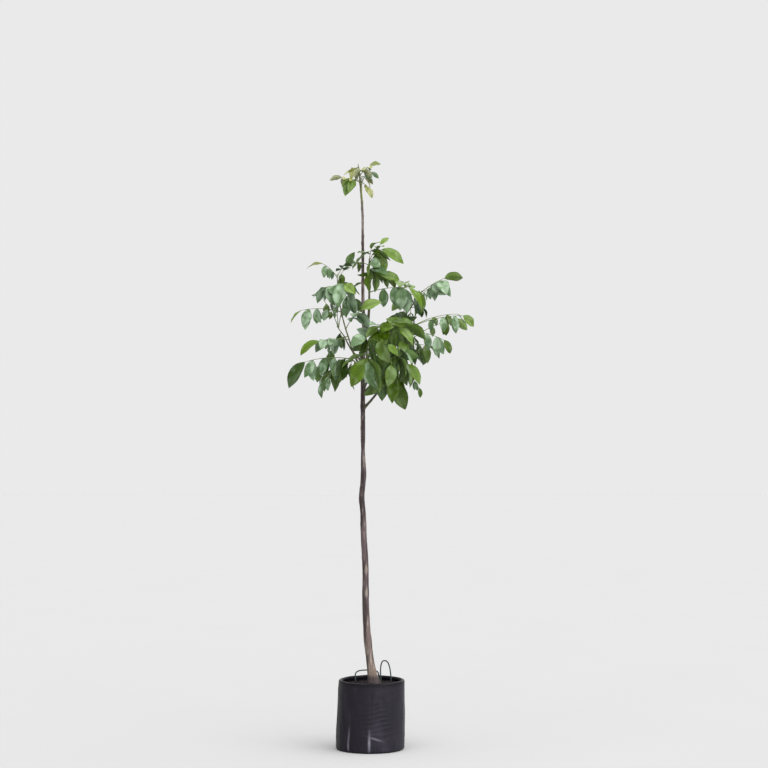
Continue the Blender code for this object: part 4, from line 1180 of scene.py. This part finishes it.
class Finish:
    """A material in the making: its nodes, its shader and object coordinates. Each keyword is a
    constant on the shader's socket of that name."""

    def __init__(self, name, **constants):
        self.material = bpy.data.materials.new(name)
        self.material.use_nodes = True
        self.tree = self.material.node_tree
        self.shader = self.tree.nodes["Principled BSDF"]
        for key, value in constants.items():
            self.shader.inputs[key.replace("_", " ")].default_value = value
        self.place = self.add("TexCoord", {}, "Object")

    def add(self, kind, inputs, output=0, **settings):
        """Adds a node with these settings, and gives one of its outputs. Each input takes a
        constant or another node's output."""
        node = self.tree.nodes.new("ShaderNode" + kind)
        for key, value in settings.items():
            setattr(node, key, value)
        for key, value in inputs.items():
            if isinstance(value, bpy.types.NodeSocket):
                self.tree.links.new(value, node.inputs[key])
            else:
                node.inputs[key].default_value = value
        return node.outputs[output]

    def grain(self, size, up=1.0, across=1.0, detail=3.0):
        """Noise whose features are this many metres wide, and longer where up or across is
        below 1."""
        at = self.add("Mapping", {"Vector": self.place, "Scale": (across, across, up)})
        return self.add("TexNoise", {"Vector": at, "Scale": 1 / size, "Detail": detail})

    def dots(self, size, up=1.0):
        """How far the nearest of scattered points is, as a share of this size in metres."""
        at = self.add("Mapping", {"Vector": self.place, "Scale": (1, 1, up)})
        return self.add("TexVoronoi", {"Vector": at, "Scale": 1 / size})

    def coated(self, base, *coats):
        """The base colour under its coats, each mixed over the one before."""
        colour = linear(base)
        for coat in coats:
            span = {"Value": coat.value, "From Min": coat.low, "From Max": coat.high, "To Max": coat.most}
            share = self.add("MapRange", span, interpolation_type=coat.course)
            mixed = {"Factor": share, 6: colour, 7: linear(coat.colour)}
            colour = self.add("Mix", mixed, 2, data_type="RGBA")
        return colour

    def done(self, colour, height, distance, strength=1.0):
        """The material, with this colour and a bump in which a height of 1 stands this many
        metres proud."""
        bump = self.add("Bump", {"Height": height, "Distance": distance, "Strength": strength})
        self.tree.links.new(colour, self.shader.inputs["Base Color"])
        self.tree.links.new(bump, self.shader.inputs["Normal"])
        return self.material


def walnut_bark():
    """Young walnut bark: smooth and matt, grey-beige at the foot, purplish brown above and green
    at the tip, with pale cork lenticels 2 mm wide and 4 mm tall, a thin silvery film that has
    worn into flecks, dark streaks where rain runs down it, and soil splashed on its lowest few
    centimetres."""
    bark = Finish("young_walnut_bark", Roughness=0.72, Specular_IOR_Level=0.3)
    height = bark.add("SeparateXYZ", {"Vector": bark.place}, "Z")
    blotch = bark.grain(0.035, up=0.35)
    zone = bark.add("Math", {0: blotch, 1: 0.5, 2: height}, operation="MULTIPLY_ADD")
    splash = bark.add("Math", {0: blotch, 1: 0.03, 2: height}, operation="MULTIPLY_ADD")
    film = bark.grain(0.011, up=0.16, detail=5.0)
    rain = bark.grain(0.026, up=0.12, detail=4.0)
    cork = bark.dots(0.0075, up=0.5)
    colour = bark.coated(
        "#695b52",
        Coat(zone, 0.62, 1.05, 1.00, "#514446"),
        Coat(zone, 1.25, 1.65, 1.00, "#403437"),
        Coat(zone, 2.05, 2.45, 1.00, "#564d45"),
        Coat(zone, 2.98, 3.12, 1.00, "#686d3c"),
        Coat(film, 0.48, 0.66, 0.60, "#988c82"),
        Coat(rain, 0.46, 0.60, 0.78, "#1f1617"),
        Coat(splash, 0.404, 0.376, 0.85, "#281e23"),
        Coat(cork, 0.18, 0.08, 0.50, "#8a7e73"),
    )
    proud = {"Value": cork, "From Min": 0.18, "From Max": 0.08, "To Max": 0.8}
    lenticels = bark.add("MapRange", proud, interpolation_type="SMOOTHSTEP")
    threads = bark.grain(0.0022, up=0.10, detail=4.0)
    return bark.done(colour, bark.add("Math", {0: lenticels, 1: threads}), 0.0006)


def green_wood(name, deep, pale, lenticel):
    """This year's and last year's wood: olive to green, slightly downy, so matt, with pale
    lenticels 1 to 2 mm across."""
    wood = Finish(name, Roughness=0.58)
    tone, cork = wood.grain(0.012, detail=4.0), wood.dots(0.0040)
    colour = wood.coated(deep, Coat(tone, 0.35, 0.68, 1.0, pale), Coat(cork, 0.22, 0.12, 0.5, lenticel))
    spans = ({"Value": tone, "From Min": 0.35, "From Max": 0.68},
             {"Value": cork, "From Min": 0.22, "From Max": 0.12, "To Max": 0.7})
    rises = [wood.add("MapRange", span, interpolation_type="SMOOTHSTEP") for span in spans]
    return wood.done(colour, wood.add("Math", dict(enumerate(rises))), 0.0004)


def walnut_leaf(name, blade, tint, gloss, roughness, vein_height):
    """Walnut leaflet, waxy above and dull beneath: patches of painted sheen 50 mm wide, which
    stand in for the sky's reflection, painted shade along the pale midrib and at the margin,
    and side veins that leave the midrib every tenth of its length and curve forward. The veins
    are sunk where their height is below 0, and the blade swells between them."""
    leaf = Finish(name, Roughness=roughness, Specular_IOR_Level=gloss)
    blade_map = leaf.add("UVMap", {}, uv_map="blade")
    along = leaf.add("SeparateXYZ", {"Vector": blade_map}, "X")
    across = leaf.add("SeparateXYZ", {"Vector": blade_map}, "Y")
    signed = leaf.add("Math", {0: across, 1: 2.0, 2: -1.0}, operation="MULTIPLY_ADD")
    out = leaf.add("Math", {0: signed}, operation="ABSOLUTE")
    curved = leaf.add("Math", {0: out, 1: 1.35}, operation="POWER")
    start = leaf.add("Math", {0: curved, 1: -0.17, 2: along}, operation="MULTIPLY_ADD")
    step = leaf.add("Math", {0: start, 1: 10.5}, operation="MULTIPLY")
    off_vein = leaf.add("Math", {0: step, 1: 0.5}, operation="PINGPONG")
    side_veins, midrib = (
        leaf.add("MapRange", {"Value": value, "From Min": 0.075, "From Max": 0.02, "To Max": most},
                 interpolation_type="SMOOTHSTEP")
        for value, most in ((off_vein, 0.45), (out, 1.0))
    )
    veins = leaf.add("Math", {0: side_veins, 1: midrib}, operation="MAXIMUM")
    colour = leaf.coated(
        blade,
        Coat(leaf.grain(0.022, detail=4.0), 0.30, 0.75, 0.16, tint.vein),
        # Painted sheen: pale patches that stand in for the sky's reflection on the glossy blade.
        Coat(leaf.grain(0.050, detail=1.5), 0.44, 0.60, tint.painted_sheen_share, tint.painted_sheen),
        # Painted shade: darker in the fold along the midrib and towards the margin.
        Coat(out, 0.50, 0.00, 0.34, "#22330b"),
        Coat(out, 0.74, 1.00, 0.34, "#22330b"),
        Coat(veins, 0.00, 1.00, 0.30, tint.vein, "LINEAR"),
    )
    arched = leaf.add("Math", {0: off_vein, 1: math.pi}, operation="MULTIPLY")
    swell = leaf.add("Math", {0: arched}, operation="SINE")
    swell = leaf.add("Math", {0: swell, 1: 0.8}, operation="MULTIPLY")
    height = leaf.add("Math", {0: veins, 1: vein_height, 2: swell}, operation="MULTIPLY_ADD")
    return leaf.done(colour, height, 0.0008 if vein_height < 0 else 0.0006)


def black_film():
    """Blown low-density polyethylene, carbon black: a satin skin with soft wrinkles 23 mm apart
    that run level round the bag, painted light that makes it paler towards +X, faint upright
    streaks of dust, duller too, painted shade that darkens the rolled mouth, and painted
    highlights on the folds, as the mesh's own attribute says."""
    film = Finish("black_polyethylene_film", Specular_IOR_Level=0.08)
    thick = {"Value": film.grain(0.060, up=0.40, detail=5.0), "From Min": 0.45, "From Max": 0.80}
    dust = film.add("MapRange", thick, interpolation_type="SMOOTHSTEP")
    # Painted light: the film is paler towards +X, the side that the lamps light most.
    eastward = film.add("SeparateXYZ", {"Vector": film.place}, "X")
    painted_light_span = {"Value": eastward, "From Min": -0.17, "From Max": 0.05, "To Max": 0.19}
    painted_light_towards_x = film.add("MapRange", painted_light_span, interpolation_type="SMOOTHSTEP")
    # pale holds the dust and this painted light together.
    pale = film.add("Math", {0: dust, 1: 0.30, 2: painted_light_towards_x}, operation="MULTIPLY_ADD")
    height = film.add("SeparateXYZ", {"Vector": film.place}, "Z")
    fold_highlight_share = film.add("Attribute", {}, "Fac", attribute_name="painted_fold_highlight")
    colour = film.coated(
        "#1a181d",
        Coat(pale, 0.0, 1.0, 1.0, "#3a3742", "LINEAR"),
        # Painted shade: the rolled mouth is darker from 0.325 m up, which also covers the dust there.
        Coat(height, 0.325, 0.350, 1.0, "#121014"),
        # Painted highlight on the folds, from the mesh's attribute.
        Coat(fold_highlight_share, 0.0, 1.0, 1.0, "#8a8794", "LINEAR"),
    )
    dulled = film.add("MapRange", {"Value": dust, "To Min": 0.40, "To Max": 0.54})
    film.tree.links.new(dulled, film.shader.inputs["Roughness"])
    return film.done(colour, film.grain(0.030, up=1.3, across=0.4, detail=1.0), 0.0030, 0.6)


def potting_soil():
    """Moist composted bark: rough, near black in the hollows, which is painted shade over its dark
    colour, and a dull red-brown on crumbs 6 mm wide."""
    soil = Finish("composted_bark_soil", Roughness=0.92, Specular_IOR_Level=0.15)
    crumb = soil.grain(0.006, detail=6.0)
    # One noise sets both colour and bump, so the low hollows carry painted shade.
    return soil.done(soil.coated("#080507", Coat(crumb, 0.35, 0.70, 1.0, "#1e1319")), crumb, 0.0030)


def bark_chip(name, deep, pale):
    """Pine bark for potting: rough and dull, flecked every 3 to 4 mm."""
    chip = Finish(name, Roughness=0.86, Specular_IOR_Level=0.15)
    fleck = chip.grain(0.0035, detail=5.0)
    return chip.done(chip.coated(deep, Coat(fleck, 0.35, 0.68, 1.0, pale)), fleck, 0.0010)


def rope_fibre():
    """Polypropylene rope, dark green-black: split film laid in strands, with a low sheen. Its
    fibres are drawn 1 mm apart, coarser than the real ones, so that they show."""
    fibre = Finish("polypropylene_rope", Roughness=0.50)
    split = fibre.grain(0.0010, up=0.25)
    return fibre.done(fibre.coated("#1b2624", Coat(split, 0.35, 0.70, 1.0, "#3c4a46")), split, 0.0005)


def floor_paint():
    """Matt pale studio floor, a little uneven in tone over patches 0.9 m wide."""
    paint = Finish("matt_floor_paint", Roughness=1.0, Specular_IOR_Level=0.0)
    tone = paint.grain(0.9, detail=2.0)
    colour = paint.coated(FLOOR_DEEP, Coat(tone, 0.0, 1.0, 1.0, FLOOR_PALE, "LINEAR"))
    paint.tree.links.new(colour, paint.shader.inputs["Base Color"])
    return paint.material


# ---- Which leaves are which green ----
class Tint(NamedTuple):
    """A leaflet's green: upper side, veins and mottling, painted sheen and its share, underside,
    and how far it shines."""

    upper: str
    vein: str
    painted_sheen: str
    painted_sheen_share: float
    under: str
    gloss: float


# A spray deals these out to its leaves, in the order of its plan. It names two of them for
# each leaf by their first letters: one for the end leaflet, and one for the rest.
TINTS = {
    "young": Tint("#93994f", "#b2b582", "#b6ba98", 0.40, "#989c77", 0.30),
    "olive": Tint("#5e692a", "#838b50", "#8f9474", 0.40, "#6f7650", 0.25),
    "bright": Tint("#577506", "#7f9336", "#8fa46e", 0.35, "#6d893d", 0.20),
    "fresh": Tint("#4b6807", "#708632", "#859a68", 0.38, "#627f38", 0.20),
    "mid": Tint("#3a5206", "#5f732e", "#768b60", 0.38, "#567034", 0.20),
    "deep": Tint("#243a08", "#465c25", "#5c7152", 0.42, "#425c28", 0.18),
    # Leaflets painted pale grey-green, with a large share of painted sheen, for upper sides that reflect
    # the sky.
    "cool": Tint("#405f30", "#899e80", "#8ca386", 0.80, "#607b57", 0.33),
}
SPRAY_TINTS = {
    "spray_leader": "yy oy bf yy oy yy oy cc yy",
    "spray_upright": "fc ff fm bf cf cm fm cf",
    "spray_left": "fc bc cc bc oc dd cm md bc dc cc",
    "spray_low_left": "dc cc mm dc cm cd",
    "spray_front": "cm cf fm md",
    "spray_front_upper": "mf cf fm cf",
    "spray_front_right": "mf fm dm cd md",
    "spray_low_right": "mf fm mc md mc dm",
    "spray_right_middle": "fc mc dc cm df",
    "spray_right": "fc ff cm md mc dd ff",
    "spray_back_left": "cm dd fc dd mc",
    "spray_back": "md dd dm ff mm",
    "spray_back_right": "fm mm dd mm fd",
}


def dealt_tints(stalks):
    """Each leaflet's number among the tints, in the order of the leaflets."""
    first_letters = [name[0] for name in TINTS]
    dealt = []
    for spray, found in stalks.items():
        letters = SPRAY_TINTS[spray].split()
        for stalk in found:
            end, rest = letters[SPRAYS[spray].leaves.index(stalk.leaf)]
            for number in range(len(stalk.leaflets)):
                dealt.append(first_letters.index(rest if number else end))
    return np.array(dealt)


def leaf_pieces(stalks):
    """All blades as one piece. The upper side of each has its tint's first material, and the
    underside the second."""
    leaflets = [x for found in stalks.values() for stalk in found for x in stalk.leaflets]
    grid = leaf_blades(leaflets, np.random.default_rng(71))
    materials = []
    for name, tint in TINTS.items():
        materials += [walnut_leaf(f"walnut_leaf_{name}", tint.upper, tint, tint.gloss, 0.36, -0.5),
                      walnut_leaf(f"walnut_underside_{name}", tint.under, tint, 0.25, 0.62, 1.0)]
    is_under = np.arange(len(ROUND)) >= len(ROUND) // 2
    faces = 2 * dealt_tints(stalks)[:, None, None] + is_under
    faces = np.broadcast_to(faces, (len(grid), len(ROWS) - 1, len(ROUND)))
    make_piece("leaf_blades", grid, materials, replaces=list(SPRAYS),
               face_materials=faces, marks=blade_marks(), sharp=60)


def plant():
    """The tree: bark on the trunk and boughs, then the green wood, the buds and the leaves."""
    limbs, shoots, stalks = grow()
    last_year = green_wood("last_years_wood", "#302e1d", "#504e30", "#807b5d")
    this_year = green_wood("this_years_shoot", "#3b4220", "#575f33", "#8a8c68")
    stalk_green = green_wood("leaf_stalk_green", "#455821", "#67783d", "#8b925f")
    bud_scales = green_wood("bud_scales", "#45452d", "#6d6c47", "#83805f")
    make_piece("trunk_bark", trunk_bark(), [walnut_bark()], replaces=["trunk"])
    make_piece("bough_bark", bough_bark(limbs), [last_year], replaces=list(BOUGHS))
    make_piece("shoot_twigs", shoot_twigs(shoots), [this_year], replaces=list(SPRAYS))
    make_piece("leaf_stalks", leaf_stalks(stalks), [stalk_green], replaces=list(SPRAYS))
    make_piece("buds", buds(shoots, stalks), [bud_scales])
    leaf_pieces(stalks)


# Bearings of both ends, height over the rim, lean, and the two powers of the loop's curve.
HANDLES = {
    "handle_back": (126, 76, 0.033, 0.0, 0.55, 0.65),
    "handle_right": (72, 48, 0.082, -0.006, 0.70, 0.95),
}


def container():
    """The bag with its soil, its two rope loops, and the loose bark on the soil."""
    film_grid, painted_highlight = bag_film()
    film = make_piece("bag_film", film_grid, [black_film()], replaces=["bag"], sharp=70)
    # The film's attribute holds its painted highlight on the folds.
    film.data.attributes.new("painted_fold_highlight", "FLOAT", "POINT").data.foreach_set("value", painted_highlight.ravel())
    make_piece("soil", root_ball(), [potting_soil()], replaces=["root_ball"])
    fibre = rope_fibre()
    for name, places in HANDLES.items():
        make_piece(f"rope_{name}", rope(handle_line(*places)), [fibre], replaces=[name])
    rng = np.random.default_rng(83)
    for name, count, deep, pale in (("dark_chips", 620, "#0b0709", "#1a1115"),
                                    ("pale_chips", 240, "#160e12", "#2a1d22")):
        make_piece(name, bark_chips(count, rng), [bark_chip(f"pine_bark_{name}", deep, pale)])


# ---- Studio ----
BACKDROP = "#eaeaea"
FLOOR_DEEP, FLOOR_PALE = "#a7a7a7", "#a9a9a9"
FLOOR_HALF_SIDE = 60.0
# Name, energy, angle across in degrees, bearing that it shines from, height above the horizon.
LAMPS = (("key", 4.2, 100, -60, 56), ("side", 1.0, 60, -40, 14), ("back", 0.4, 60, 70, 35))

CAMERA_PLACE = Vector((0.0718, -9.5, 1.52))
VIEW_WIDTH = 3.938  # metres across the picture at the trunk
CAMERA_SHIFT = 0.0889  # share of the picture by which the level view is raised


def studio():
    """A pale floor and backdrop, soft lamps, and the camera in front, level."""
    mesh = bpy.data.meshes.new("floor")
    corners = np.array([(-1, -1, 0), (1, -1, 0), (1, 1, 0), (-1, 1, 0)]) * FLOOR_HALF_SIDE
    mesh.from_pydata(corners.tolist(), [], [(0, 1, 2, 3)])
    mesh.materials.append(floor_paint())
    placed("floor", mesh)
    world = bpy.data.worlds.new("studio")
    world.use_nodes = True
    world.node_tree.nodes["Background"].inputs["Color"].default_value = linear(BACKDROP)
    bpy.context.scene.world = world
    for name, energy, angle, bearing, height in LAMPS:
        lamp = bpy.data.lights.new(name, "SUN")
        lamp.energy = energy
        lamp.angle = math.radians(angle)
        aim = (-heading(bearing, height)).to_track_quat("-Z", "Y")
        placed(name, lamp).rotation_euler = aim.to_euler()
    camera = bpy.data.cameras.new("camera")
    camera.angle = 2 * math.atan(VIEW_WIDTH / 2 / -CAMERA_PLACE.y)
    camera.shift_y = CAMERA_SHIFT
    camera.clip_end = 4 * FLOOR_HALF_SIDE
    holder = placed("camera", camera)
    holder.location = CAMERA_PLACE
    holder.rotation_euler = (math.radians(90), 0, 0)
    bpy.context.scene.camera = holder
    bpy.context.scene.view_settings.view_transform = "Standard"


plant()
container()
studio()
